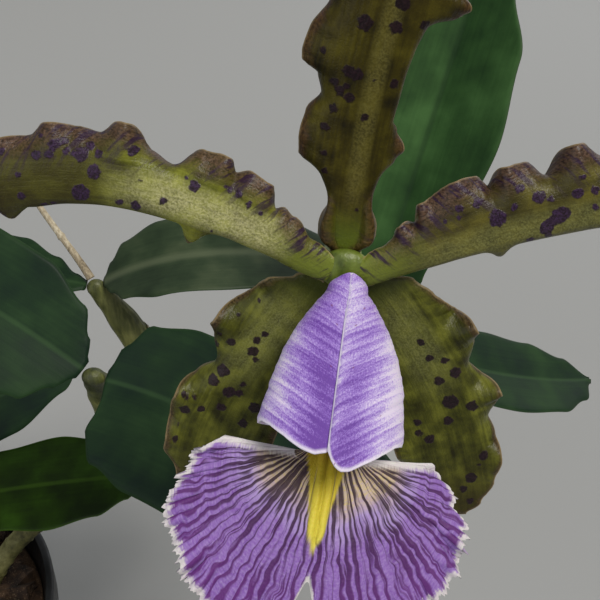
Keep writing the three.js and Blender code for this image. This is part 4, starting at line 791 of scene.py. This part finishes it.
leafGreen = leatheryLeaf("cuticle_leaf", leafLook)
leafYoung = leatheryLeaf("cuticle_young_leaf", youngLook)
leafDusty = leatheryLeaf("cuticle_dusty_leaf", dustyLook)
leafShaded = leatheryLeaf("cuticle_upright_leaf_shaded_crease", shadedLook)
odd = {"leaf_a_up": leafShaded, "leaf_d_right": leafDusty}
for order, (name, leaf) in enumerate(leaves.items()):
    run = unit(np.array(leaf["start"], float))
    foot = np.array(growths[leaf["growth"]]["apex"]) + run * (capRadius + leafSheet["gap"])
    third = np.linalg.norm(np.array(leaf["tip"]) - foot) / 3
    t = np.linspace(0, 1, leafSheet["rows"])
    q = np.linspace(-1, 1, leafSheet["columns"])[None, :]
    point, run, side, face = ribFrames([foot, foot + run * third, leaf["by"], leaf["tip"]], leaf["face"], t)
    half = np.where(q < 0, leaf.get("otherHalf", leaf["half"]), leaf["half"])
    width = along(leaf["outline"], t)[:, None] * half
    # the blade waves a little towards its margin, and its keel is rounded
    sway = (0.9 * np.abs(q) ** 2 * wander(t[:, None] * 3.4 + np.sign(q) * 4, 40 + order)
            * smooth(t, 0.05, 0.3)[:, None])
    hollow = np.sqrt(q * q + 0.0016) - 0.04
    drawnBack = leaf.get("ear", 0) * smooth(t, 0, 0.05) * (1 - t) ** 5
    keel = math.radians(leaf["keel"])
    surface = (point[:, None] + side[:, None] * (width * q * math.cos(keel))[..., None]
               + face[:, None] * (width * hollow * math.sin(keel) + sway)[..., None]
               - run[:, None] * (drawnBack[:, None] * np.maximum(q, 0))[..., None])
    thickness = leafSheet["rib"] + (leafSheet["margin"] - leafSheet["rib"]) * np.abs(q) ** 1.4 + 0 * width
    thickness = thickness * (0.35 + 0.65 * smooth((1 - np.abs(q)) * width, 0, 1.2))
    wayAlong = wayTo(point)
    skin = leafYoung if leaf.get("young") else odd.get(name, leafGreen)
    piece = makeSheet(name + "_blade", surface, thickness, skin, {
        "lengthMm": wayAlong + order * 200.0, "acrossMm": q * width, "halfShare": np.abs(q) + 0 * width})
    settle(piece, "young_leaf" if leaf.get("young") else "leaf", name)
print("leaves made")

# the canes: ringed at their joints, grooved as they age, partly in dry papery skins
caneLook = {"dark": "#30351a", "mid": "#585c30", "light": "#84854e", "squeeze": (1, 1, 0.12), "fibres": 700.0,
            "cloud": 70.0, "grain": 2200.0, "specks": 0.3, "speckColour": "#4a3c28", "bump": 0.35,
            "roughness": 0.45}
paperLook = {"dark": "#6f6350", "mid": "#a2957c", "light": "#c9c0a8", "squeeze": (1, 1, 0.06),
    "fibres": 1300.0, "cloud": 60.0, "grain": 1500.0, "specks": 0.35, "speckColour": "#4d4234", "bump": 0.5,
    "roughness": 0.8}
caneSkin = fibrousSkin("grooved_cane_skin", caneLook)
paperSkin = fibrousSkin("dry_papery_sheath", paperLook)
cane = {"rows": 90, "sides": 48, "capRings": 8, "flatness": 0.82, "grooves": 15, "groove": 0.02,
        "joints": (0.28, 0.61), "face": (0, -1, 0.1)}
# each skin: where it starts and ends along the cane, and its split in degrees
papers = {"rows": 30, "columns": 49, "thickness": 0.16, "skins": ((0.02, 0.3, 40), (0.31, 0.66, 90))}


def caneProfile(radius):
    r = radius
    return [(0, capRadius), (0.14, r * 0.72), (0.27, r * 0.86), (0.29, r * 0.8), (0.45, r * 0.97), (0.6, r),
            (0.62, r * 0.93), (0.78, r * 0.88), (0.92, r * 0.66), (1, capRadius)]


for order, (letter, growth) in enumerate(growths.items()):
    foot, bend, apex = (np.array(growth[k], float) for k in ("foot", "bend", "apex"))
    rib = [foot, foot + (bend - foot) * 0.67, apex + (bend - apex) * 0.67, apex]
    t = np.linspace(0, 1, cane["rows"])
    point, run, side, face = ribFrames(rib, cane["face"], t)
    cap = np.radians(np.linspace(80, 0, cane["capRings"], endpoint=False))
    centres = np.concatenate([point[:1] - run[:1] * capRadius * np.sin(cap)[:, None], point,
                              point[-1:] + run[-1:] * capRadius * np.sin(cap[::-1])[:, None]])
    sides, faces = (np.concatenate([np.repeat(way[:1], cane["capRings"], 0), way,
                                    np.repeat(way[-1:], cane["capRings"], 0)]) for way in (side, face))
    faces = faces * cane["flatness"]
    radius = along(caneProfile(growth["radius"]), t)
    for joint in cane["joints"]:
        pinch = 0.05 * np.exp(-((t - joint) / 0.008) ** 2)
        swelling = 0.03 * np.exp(-((t - joint - 0.02) / 0.01) ** 2)
        radius = radius * (1 - pinch + swelling)
    angle = np.linspace(0, 2 * math.pi, cane["sides"], endpoint=False)[None, :]
    twisted = angle * cane["grooves"] + 1.5 * wander(t * 3, order)[:, None]
    groove = 1 - (cane["groove"] * (1 + np.cos(twisted)) * smooth(t, 0.04, 0.2)[:, None]
                  * (1 - smooth(t, 0.85, 1))[:, None])
    capRadii = np.repeat((capRadius * np.cos(cap))[:, None], cane["sides"], 1)
    radii = np.concatenate([capRadii, radius[:, None] * groove, capRadii[::-1]])
    piece = makeTurned("cane_" + letter, centres, sides, faces, radii, caneSkin)
    settle(piece, "bulb", "pseudobulb_" + letter)
    # two dry skins, split down one side
    for number, (low, high, gap) in enumerate(papers["skins"]):
        v = np.linspace(0, 1, papers["rows"])[:, None]
        u = np.linspace(0, 1, papers["columns"])[None, :]
        angle = np.radians(gap / 2 + order * 60 + number * 120 + u * (360 - gap))
        tear = 0.16 * wander(u * 9 + order, 60 + number, 3) - 0.25 * (2 * np.abs(u - 0.5)) ** 3
        height = np.clip(low + (high - low) * v * (1 + tear), 0, 0.98)
        flatT = height.ravel()
        point, _, side, face = (a.reshape(*height.shape, 3) for a in ribFrames(rib, cane["face"], flatT))
        loose = (0.3 + 0.5 * v ** 2 * (0.5 + 0.5 * wander(u * 6, 70 + order, 2))
                 + 0.9 * (2 * np.abs(u - 0.5)) ** 8 * v)
        wrapped = along(caneProfile(growth["radius"]), flatT).reshape(height.shape) + loose
        surface = (point + side * (np.cos(angle) * wrapped)[..., None]
                   - face * (np.sin(angle) * wrapped * cane["flatness"])[..., None])
        piece = makeSheet("papery_skin_%s_%d" % (letter, number + 1), surface, papers["thickness"], paperSkin)
        settle(piece, "dry_sheath")
print("canes made")

# stems, shoot and stalk
stemLook = {"dark": "#56662c", "mid": "#7a8c44", "light": "#9caa62", "squeeze": (1, 1, 0.1), "fibres": 900.0,
            "cloud": 90.0, "grain": 2400.0, "specks": 0.25, "speckColour": "#5a3b30", "bump": 0.2,
            "roughness": 0.42}
shootLook = dict(stemLook, dark="#3d5c1c", mid="#638832", light="#8fae55")
stemSkin = fibrousSkin("fresh_flower_stem", stemLook)
shootSkin = fibrousSkin("fresh_shoot_scales", shootLook)
neckSkin = fibrousSkin("fresh_flower_neck", dict(stemLook, dark="#38440f", mid="#56641f", light="#6f7c30"))


def stalk(name, rib, face, profile, sides, rows, material, ridges=0, ridgeDepth=0.0, tip=0.0):
    t = np.linspace(0, 1, rows)
    point, run, side, faceDirection = ribFrames(rib, face, t)
    angle = np.linspace(0, 2 * math.pi, sides, endpoint=False)[None, :]
    radii = along(profile, t)[:, None] * (1 - ridgeDepth * (0.5 + 0.5 * np.cos(angle * ridges)))
    tail = [(0.55 * tip, 0.8), (tip, 0.3)] if tip else []   # a rounded end
    centres = np.concatenate([point] + [point[-1:] + run[-1:] * shift for shift, _ in tail])
    radii = np.concatenate([radii] + [radii[-1:] * share for _, share in tail])
    side, faceDirection = (np.concatenate([way] + [way[-1:]] * len(tail)) for way in (side, faceDirection))
    return makeTurned(name, centres, side, faceDirection, radii, material)


apexA = np.array(growths["a"]["apex"], float)
stemStart = unit(np.array([-0.15, -0.35, 0.92]))
stemFoot = apexA + stemStart * (capRadius + leafSheet["gap"])
stemRib = [stemFoot, stemFoot + stemStart * 48, inFlower((0, -2, -30)), inFlower((0, 0, -3.4))]
stemFace = (1, -0.2, 0)
stemProfile = [(0, 1.8), (0.1, 1.7), (0.3, 1.65), (0.46, 1.65), (0.5, 2.1), (0.525, 1.72), (0.66, 1.9),
    (0.78, 2.2), (0.88, 2.6), (0.96, 2.9), (1, 2.8)]
settle(stalk("flower_stem_and_ovary", stemRib, stemFace, stemProfile, 36, 120, stemSkin, ridges=6,
    ridgeDepth=0.07, tip=1.6), "stem", "flower_stem")

# green tissue that joins the feet of the sepals, petals and lip
receptacle = {"rows": 40, "sides": 40, "wide": 3.9, "deep": 3.1}
v = np.linspace(-1, 1, receptacle["rows"])
side = np.tile(rightward * receptacle["wide"], (receptacle["rows"], 1))
face = np.tile(-upward * receptacle["deep"], (receptacle["rows"], 1))
centres = inFlower(np.stack([0 * v, 0.3 - 0.4 * v, -0.4 + 1.8 * v], -1))
wide = np.sqrt(np.maximum(1 - v * v, 0.002))[:, None] + np.zeros((1, receptacle["sides"]))
settle(makeTurned("flower_receptacle", centres, side, face, wide, neckSkin), "stem", "flower_stem")

# the papery sheath at the stem's foot, open down one side
sheath = {"rows": 50, "columns": 61, "radius": 2.35, "loose": 0.35, "reach": 0.187, "opening": 30,
    "thickness": 0.25}
v = np.linspace(0, 1, sheath["rows"])[:, None]
u = np.linspace(0, 1, sheath["columns"])[None, :]
sheathT = 0.003 + sheath["reach"] * v * (1 + 0.05 * wander(u * 12, 90, 2)) + 0 * u
point, run, side, face = (a.reshape(*sheathT.shape, 3) for a in ribFrames(stemRib, stemFace, sheathT.ravel()))
wrap = sheath["radius"] + sheath["loose"] * v ** 2 * (0.5 + 0.5 * wander(u * 5, 91))
angle = np.radians(sheath["opening"] / 2 + (360 - sheath["opening"]) * u)
surface = point + side * (np.cos(angle) * wrap)[..., None] - face * (np.sin(angle) * wrap)[..., None]
settle(makeSheet("flower_sheath_paper", surface, sheath["thickness"], paperSkin), "dry_sheath",
    "flower_sheath")

stalkStart = unit(np.array([-0.5, 0.38, 0.78]))
stalkFoot = np.array(growths["d"]["apex"]) + stalkStart * (capRadius + leafSheet["gap"])
settle(stalk("dry_old_stalk", [stalkFoot, stalkFoot + stalkStart * 12, (77.6, 59.2, 232), (70.6, 65.2, 244)],
    (0, -1, 0.2), [(0, 1.5), (0.2, 1.3), (0.42, 1.15), (0.45, 1.5), (0.49, 1.15), (0.8, 1.05), (1, 0.85)], 20,
    70, paperSkin, ridges=7, ridgeDepth=0.14), "dry_sheath", "old_flower_stalk")
settle(stalk("shoot_scales", [(123.5, 18.5, 139), (126.6, 14.8, 140.4), (129.6, 13.2, 147),
    (132.6, 11.2, 159)], (0, -1, 0.2), [(0, 2.2), (0.2, 3.1), (0.3, 2.85), (0.33, 3.05), (0.55, 2.6),
    (0.58, 2.4), (0.8, 1.6), (1, 0.3)], 28, 70, shootSkin, ridges=3, ridgeDepth=0.06), "young_leaf",
    "new_shoot")

# the column in the tube, and its cap
columnLook = {"dark": "#b9a9cf", "mid": "#d8cfe4", "light": "#efe9f2", "squeeze": (1, 1, 1), "fibres": 500.0,
              "cloud": 200.0, "grain": 1800.0, "specks": 0.15, "speckColour": "#8a5a9c", "bump": 0.15,
              "roughness": 0.4}
columnSkin = fibrousSkin("waxy_column", columnLook)
columnSlope = math.radians(tube["slope"])
columnRib = [inFlower((-0.02 * way, -0.3 - way * math.sin(columnSlope), -0.5 + way * math.cos(columnSlope)))
             for way in (0, 19 / 3, 38 / 3, 19)]
settle(stalk("waxy_column", columnRib, rightward,
    [(0, 1.2), (0.2, 1.3), (0.45, 1.8), (0.7, 2.4), (0.92, 2.4), (1, 2.1)], 28, 50, columnSkin), "column",
    "column")
tipDirection = unit(np.array(columnRib[3]) - np.array(columnRib[0]))
capRib = [np.array(columnRib[3]) + tipDirection * way for way in (0.35, 1.1, 1.9, 2.6)]
settle(stalk("rounded_cap", capRib, rightward, [(0, 1.9), (0.4, 2), (0.8, 1.5), (1, 0.5)], 24, 16,
    columnSkin), "column", "anther_cap")
print("stems and column made")


# runners and roots follow curves: a swept round section with rings, worked out by nodes
def pathCurve(name, points):
    curve = bpy.data.curves.new(name, "CURVE")
    curve.dimensions = "3D"
    spline = curve.splines.new("BEZIER")
    spline.bezier_points.add(1)
    for k, (at, handle) in enumerate(((0, 1), (3, 2))):
        knot = spline.bezier_points[k]
        knot.co = np.array(points[at]) * mm
        knot.handle_left = knot.handle_right = np.array(points[handle]) * mm
    spline.bezier_points[0].handle_left = (2 * np.array(points[0]) - np.array(points[1])) * mm
    spline.bezier_points[1].handle_right = (2 * np.array(points[3]) - np.array(points[2])) * mm
    spline.resolution_u = 48
    return newObject(name, curve)


def newShape(name, inputs):   # an empty tree of geometry nodes with its named inputs
    tree = bpy.data.node_groups.new(name, "GeometryNodeTree")
    sockets = {"Geometry": ("Geometry", None), **inputs, "Skin": ("Material", None)}
    for label, (kind, value) in sockets.items():
        socket = tree.interface.new_socket(label, in_out="INPUT", socket_type="NodeSocket" + kind)
        if value is not None:
            socket.default_value = value
    tree.interface.new_socket("Geometry", in_out="OUTPUT", socket_type="NodeSocketGeometry")
    add = partial(addNode, tree)
    return tree, add, add("NodeGroupInput").outputs


def closeShape(add, geometry, skin):   # real faces with their material
    whole = add("GeometryNodeRealizeInstances", {"Geometry": geometry})
    skinned = add("GeometryNodeSetMaterial", {"Geometry": whole, "Material": skin})
    add("NodeGroupOutput", {"Geometry": skinned})


def sweptTree(name):
    tree, add, given = newShape(name, {
        "Thickness": ("Float", 0.001), "Ring spacing": ("Float", 0.004), "Ring depth": ("Float", 0.1),
        "Roughness": ("Float", 0.0002), "Seed": ("Int", 1)})
    fine = add("GeometryNodeResampleCurve", {"Curve": given["Geometry"], "Length": 0.0005}, mode="LENGTH")
    way = add("GeometryNodeSplineParameter").outputs["Length"]
    phase = add("Math", [way, given["Ring spacing"]], operation="DIVIDE")
    saw = add("Math", [phase], operation="FRACT")
    ring = add("Math", [saw, 6.0], operation="POWER")
    ringed = add("Math", [ring, given["Ring depth"], 1.0], operation="MULTIPLY_ADD")
    share = add("GeometryNodeSplineParameter").outputs["Factor"]
    toEnd = add("Math", [1.0, share], operation="SUBTRACT")
    nearest = add("Math", [share, toEnd], operation="MINIMUM")
    taper = add("MapRange", [nearest, 0.0, 0.03, 0.82, 1.0])
    shaped = add("Math", [ringed, taper], operation="MULTIPLY")
    thick = add("Math", [shaped, given["Thickness"]], operation="MULTIPLY")
    section = add("GeometryNodeCurvePrimitiveCircle", {"Resolution": 24, "Radius": 1.0})
    swept = add("GeometryNodeCurveToMesh", {"Curve": fine, "Profile Curve": section, "Scale": thick,
        "Fill Caps": True})
    where = add("GeometryNodeInputPosition")
    noise = add("TexNoise", {"Vector": where, "W": given["Seed"], "Scale": 300.0, "Detail": 2.0},
        noise_dimensions="4D")
    centred = add("Math", [noise.outputs[0], 0.5], operation="SUBTRACT")
    height = add("Math", [centred, given["Roughness"]], operation="MULTIPLY")
    normal = add("GeometryNodeInputNormal")
    offset = add("VectorMath", {0: normal, "Scale": height}, operation="SCALE")
    rough = add("GeometryNodeSetPosition", {"Geometry": swept, "Offset": offset.outputs[0]})
    closeShape(add, rough, given["Skin"])
    return tree


def grow(name, source, tree, values):   # runs a tree on an object and keeps the result as a plain mesh
    modifier = source.modifiers.new("shape", "NODES")
    modifier.node_group = tree
    for item in tree.interface.items_tree:
        if item.item_type == "SOCKET" and item.in_out == "INPUT" and item.name in values:
            modifier[item.identifier] = values[item.name]
    bpy.context.view_layer.update()
    evaluated = source.evaluated_get(bpy.context.evaluated_depsgraph_get())
    mesh = bpy.data.meshes.new_from_object(evaluated)
    mesh.name = name
    mesh.polygons.foreach_set("use_smooth", [True] * len(mesh.polygons))
    bpy.data.objects.remove(source)
    return newObject(name, mesh)


rhizomeLook = {"dark": "#3d3c20", "mid": "#6b683a", "light": "#8f8b58", "squeeze": (1, 1, 1), "fibres": 420.0,
               "cloud": 90.0, "grain": 2000.0, "specks": 0.4, "speckColour": "#3a2c1e", "bump": 0.5,
               "roughness": 0.65}
velamenLook = {"dark": "#8d8873", "mid": "#b7b29c", "light": "#dad6c6", "squeeze": (1, 1, 1), "fibres": 500.0,
               "cloud": 120.0, "grain": 2400.0, "specks": 0.3, "speckColour": "#6f7a4a", "bump": 0.4,
               "roughness": 0.85}
rhizomeSkin = fibrousSkin("woody_rhizome", rhizomeLook)
velamen = fibrousSkin("chalky_velamen_root", velamenLook)
fork = (87.6, 43.2, 125.4)
rhizomeRuns = [
    [(39.6, 19.2, 82), (47.6, 25.2, 113), (69.6, 39.2, 120), (95.6, 44.2, 127)],
    [fork, (99.6, 40.2, 131), (111.6, 32.2, 135), (121.6, 20.7, 138.4)],
    [fork, (97.6, 45.2, 129), (107.6, 49.2, 131), (120.6, 51.2, 131.2)],
]
roots = {
    "soil_root_1": [(44, 8, 88), (44, 8, 114), (28, 22, 114), (28, 22, 91)],
    "soil_root_2": [(20, -20, 90), (20, -20, 116), (42, -34, 112), (42, -34, 88)],
    "soil_root_3": [(-30, 32, 89), (-30, 32, 112), (-44, 8, 112), (-44, 8, 88)],
    "air_root_1": [(108.6, 50.7, 126.1), (113.6, 58.2, 114), (111.6, 66.2, 100), (119.6, 70.2, 84)],
    "air_root_2": [(102.6, 47.7, 124.6), (103.6, 59.2, 112), (115.6, 71.2, 104), (129.6, 78.2, 90)],
}
sweep = sweptTree("swept_runner")
for k, points in enumerate(rhizomeRuns):
    piece = grow("rhizome_run_%d" % (k + 1), pathCurve("path", points), sweep, {
        "Thickness": 0.0037, "Ring spacing": 0.0062, "Ring depth": 0.12, "Roughness": 0.0004, "Seed": k,
        "Skin": rhizomeSkin})
    settle(piece, "rhizome", "rhizome")
for k, (name, points) in enumerate(roots.items()):
    piece = grow(name + "_velamen", pathCurve("path", points), sweep, {
        "Thickness": 0.0013, "Ring spacing": 0.0111, "Ring depth": 0.04, "Roughness": 0.0003, "Seed": 10 + k,
        "Skin": velamen})
    settle(piece, "root", name)
print("rhizome and roots made")

# the pot: a profile swung round the axis by nodes, with six drain holes cut in its floor
pot = {"height": 100, "rim": 72, "waist": 68, "foot": 54, "wall": 1.8, "floor": 2.6, "band": 13}
drain = {"count": 6, "radius": 5, "circle": 34}
potBlack = mouldedPolypropylene("moulded_black_polypropylene", {
    "black": "#0d0e10", "dust": 0.25, "dustColour": "#3b3a38"})


def inside(z):
    return pot["foot"] - pot["wall"] + (z - pot["floor"]) * (pot["rim"] - 1 - pot["foot"]) / pot["height"]


def lathedTree(name):
    tree, add, given = newShape(name, {"Sides": ("Int", 96), "Holes": ("Int", 6),
        "Hole circle": ("Float", 0.03), "Hole radius": ("Float", 0.005)})
    profile = add("GeometryNodeMeshToCurve", {"Mesh": given["Geometry"]})
    circle = add("GeometryNodeCurvePrimitiveCircle", {"Resolution": given["Sides"], "Radius": 0.00001})
    turned = add("GeometryNodeCurveToMesh", {"Curve": circle, "Profile Curve": profile})
    merged = add("GeometryNodeMergeByDistance", {"Geometry": turned, "Distance": 0.00005})
    ring = add("GeometryNodeMeshCircle", {"Vertices": given["Holes"], "Radius": given["Hole circle"]})
    plug = add("GeometryNodeMeshCylinder", {"Vertices": 32, "Radius": given["Hole radius"], "Depth": 0.012})
    plugs = add("GeometryNodeInstanceOnPoints", {"Points": ring, "Instance": plug.outputs["Mesh"]})
    cutters = add("GeometryNodeRealizeInstances", {"Geometry": plugs})
    drained = add("GeometryNodeMeshBoolean", [merged, cutters], operation="DIFFERENCE")
    closeShape(add, drained.outputs["Mesh"], given["Skin"])
    return tree


h, foot, rim, band = pot["height"], pot["foot"], pot["rim"], pot["height"] - pot["band"]
profile = [(0, 0), (foot - 1, 0), (foot - 0.3, 0.3), (foot, 1)]
profile += [(foot + (pot["waist"] - foot) * k / 12, 1 + (band - 1) * k / 12) for k in range(1, 13)]
profile += [(rim - 0.6, band + 0.1), (rim - 0.1, band + 0.5), (rim, band + 1.2), (rim, h - 1.2),
    (rim - 0.3, h - 0.3), (rim - 0.9, h), (inside(h) + 0.7, h), (inside(h) + 0.1, h - 0.4),
    (inside(h), h - 1.2)]
profile += [(inside(z), z) for z in np.linspace(h - 8, pot["floor"] + 1, 10)]
profile += [(inside(pot["floor"]) - 1, pot["floor"]), (0, pot["floor"])]
line = bpy.data.meshes.new("pot_profile")
ends = [(k, k + 1) for k in range(len(profile) - 1)]
line.from_pydata([(r * mm, -z * mm, 0) for r, z in reversed(profile)], ends, [])
lineObject = newObject("pot_profile", line)
potPiece = grow("moulded_pot", lineObject, lathedTree("lathed_pot"),
    {"Sides": 120, "Holes": drain["count"], "Hole circle": drain["circle"] * mm,
    "Hole radius": drain["radius"] * mm, "Skin": potBlack})
settle(potPiece, "black_plastic", "pot")

# bark: a rough mound that fills the pot, strewn with chips by nodes
medium = {"bottom": 3, "edge": 88, "mound": 6, "gap": 0.35, "sides": 160, "rings": 60}
# near-black bark: its own dark brown, darkened further as painted shade inside the pot
barkLook = {"dark": "#0f0a07", "mid": "#291c13", "light": "#4c3827", "squeeze": (1, 1, 0.3), "fibres": 260.0,
            "cloud": 130.0, "grain": 1400.0, "specks": 0.35, "speckColour": "#9a8468", "bump": 0.8,
            "roughness": 0.9}
bark = fibrousSkin("bark_chips_darkened_as_shade", barkLook)
reachTop = inside(medium["edge"]) - medium["gap"]
shares = np.linspace(1, 0.02, medium["rings"])
angle = np.linspace(0, 2 * math.pi, medium["sides"], endpoint=False)
bedStart = ((0.5, medium["bottom"]), (inside(medium["bottom"]) - medium["gap"], medium["bottom"]),
            (reachTop, medium["edge"] - 0.8))
rings = [[(r * math.cos(a), r * math.sin(a), z) for a in angle] for r, z in bedStart]
for share in shares:
    rough = 0.9 * wander(angle * 9 + share * 40, 33, 2) + 0.7 * wander(angle * 23 * share + share * 90, 34, 2)
    height = medium["edge"] - 0.5 + medium["mound"] * (1 - share * share) + rough * smooth(1 - share, 0, 0.1)
    reach = reachTop * share
    rings.append([(reach * math.cos(a), reach * math.sin(a), z) for a, z in zip(angle, height)])
points = np.array(rings).reshape(-1, 3)
count = medium["sides"]
index, _, wall = ringWall(len(rings), count)
bed = makePiece("bark_bed", points, [index[0][::-1].tolist()] + wall + [index[-1].tolist()], bark)
settle(bed, "bark", "bark_medium")


def strewnTree(name):
    tree, add, given = newShape(name, {
        "Density": ("Float", 30000.0), "Chip size": ("Float", 0.009), "Seed": ("Int", 3)})
    strewn = add("GeometryNodeDistributePointsOnFaces",
        {"Mesh": given["Geometry"], "Density": given["Density"], "Seed": given["Seed"]})
    chip = add("GeometryNodeMeshCube", {"Size": (1.0, 0.62, 0.34), "Vertices X": 4, "Vertices Y": 3,
        "Vertices Z": 2})
    turn = add("FunctionNodeRandomValue", {"Seed": given["Seed"]}, data_type="FLOAT_VECTOR")
    turn.inputs["Min"].default_value = (-0.5, -0.5, 0.0)
    turn.inputs["Max"].default_value = (0.5, 0.5, 6.28)
    grade = add("FunctionNodeRandomValue", {2: 0.55, 3: 1.5, "Seed": given["Seed"]}, data_type="FLOAT")
    size = add("Math", [grade.outputs[1], given["Chip size"]], operation="MULTIPLY")
    placed = add("GeometryNodeInstanceOnPoints",
        {"Points": strewn.outputs["Points"], "Instance": chip.outputs["Mesh"], "Rotation": turn.outputs[0],
        "Scale": size})
    whole = add("GeometryNodeRealizeInstances", {"Geometry": placed})
    where = add("GeometryNodeInputPosition")
    noise = add("TexNoise", {"Vector": where, "Scale": 210.0, "Detail": 2.0})
    centred = add("VectorMath", [noise.outputs["Color"], (0.5, 0.5, 0.5)], operation="SUBTRACT")
    offset = add("VectorMath", {0: centred.outputs[0], "Scale": 0.006}, operation="SCALE")
    rough = add("GeometryNodeSetPosition", {"Geometry": whole, "Offset": offset.outputs[0]})
    closeShape(add, rough, given["Skin"])
    return tree


ground = bpy.data.meshes.new("strewing_ground")
inner = reachTop - 5
rounds = [(share * inner * math.cos(a) * mm, share * inner * math.sin(a) * mm, (medium["edge"] + up) * mm)
          for share, up in ((1, 2.6), (0.6, 5)) for a in angle]
slopes = [(k, (k + 1) % count, count + (k + 1) % count, count + k) for k in range(count)]
slopes += [(count + k, count + (k + 1) % count, 2 * count) for k in range(count)]
ground.from_pydata(rounds + [(0, 0, (medium["edge"] + medium["mound"] + 1) * mm)], [], slopes)
groundObject = newObject("strewing_ground", ground)
chips = grow("bark_chips", groundObject, strewnTree("strewn_bark"), {
    "Density": 34000.0, "Chip size": 0.0095, "Seed": 3, "Skin": bark})
chips.data.polygons.foreach_set("use_smooth", [False] * len(chips.data.polygons))
settle(chips, "bark", "bark_medium")
print("pot and bark made")

# stage: a plain pale floor with soft studio light
stageLook = {"floor": "#949594", "sky": "#d9dde0", "skyStrength": 0.4}
floorMaterial, add = newMaterial("pale_studio_floor")
shader = add("BsdfPrincipled", {"Base Color": linear(stageLook["floor"]), "Roughness": 0.9})
add("OutputMaterial", {"Surface": shader})
floorMesh = bpy.data.meshes.new("floor")
floorMesh.from_pydata([(-6, -6, 0), (6, -6, 0), (6, 6, 0), (-6, 6, 0)], [], [(0, 1, 2, 3)])
floorMesh.materials.append(floorMaterial)
floorPiece = newObject("floor", floorMesh)
floorPiece.location = (0, 0, -0.0002)

world = bpy.data.worlds.new("studio")
world.use_nodes = True
world.node_tree.nodes.clear()
backdrop = addNode(world.node_tree, "Background",
    {"Color": linear(stageLook["sky"]), "Strength": stageLook["skyStrength"]})
addNode(world.node_tree, "OutputWorld", {"Surface": backdrop})
bpy.context.scene.world = world

# a broad soft light from the upper right, a wide one in front to open the shadows and a weak one behind
lamps = {
    "key": {"kind": "SUN", "place": (0.62, -0.55, 1.3), "strength": 2.6, "spread": 22, "colour": "#fffaf3"},
    "fill": {"kind": "AREA", "place": (-0.7, -1.0, 0.75), "strength": 5, "spread": 1.2, "colour": "#f6f8ff"},
    "rear": {"kind": "AREA", "place": (0.8, 1.1, 0.9), "strength": 3.5, "spread": 1.2, "colour": "#f6f8ff"},
}
aimAt = np.array([0.12, -0.04, 0.24])
for name, lamp in lamps.items():
    light = bpy.data.lights.new(name, lamp["kind"])
    light.energy = lamp["strength"]
    light.color = linear(lamp["colour"])[:3]
    if lamp["kind"] == "SUN":
        light.angle = math.radians(lamp["spread"])
    else:
        light.size = lamp["spread"]
    lampObject = newObject(name, light)
    lampObject.location = lamp["place"]
    aim = aimAt - np.array(lamp["place"])
    lampObject.rotation_euler = (math.atan2(math.hypot(aim[0], aim[1]), -aim[2]), 0,
                                 math.atan2(aim[1], aim[0]) - math.pi / 2)
print("stage set")
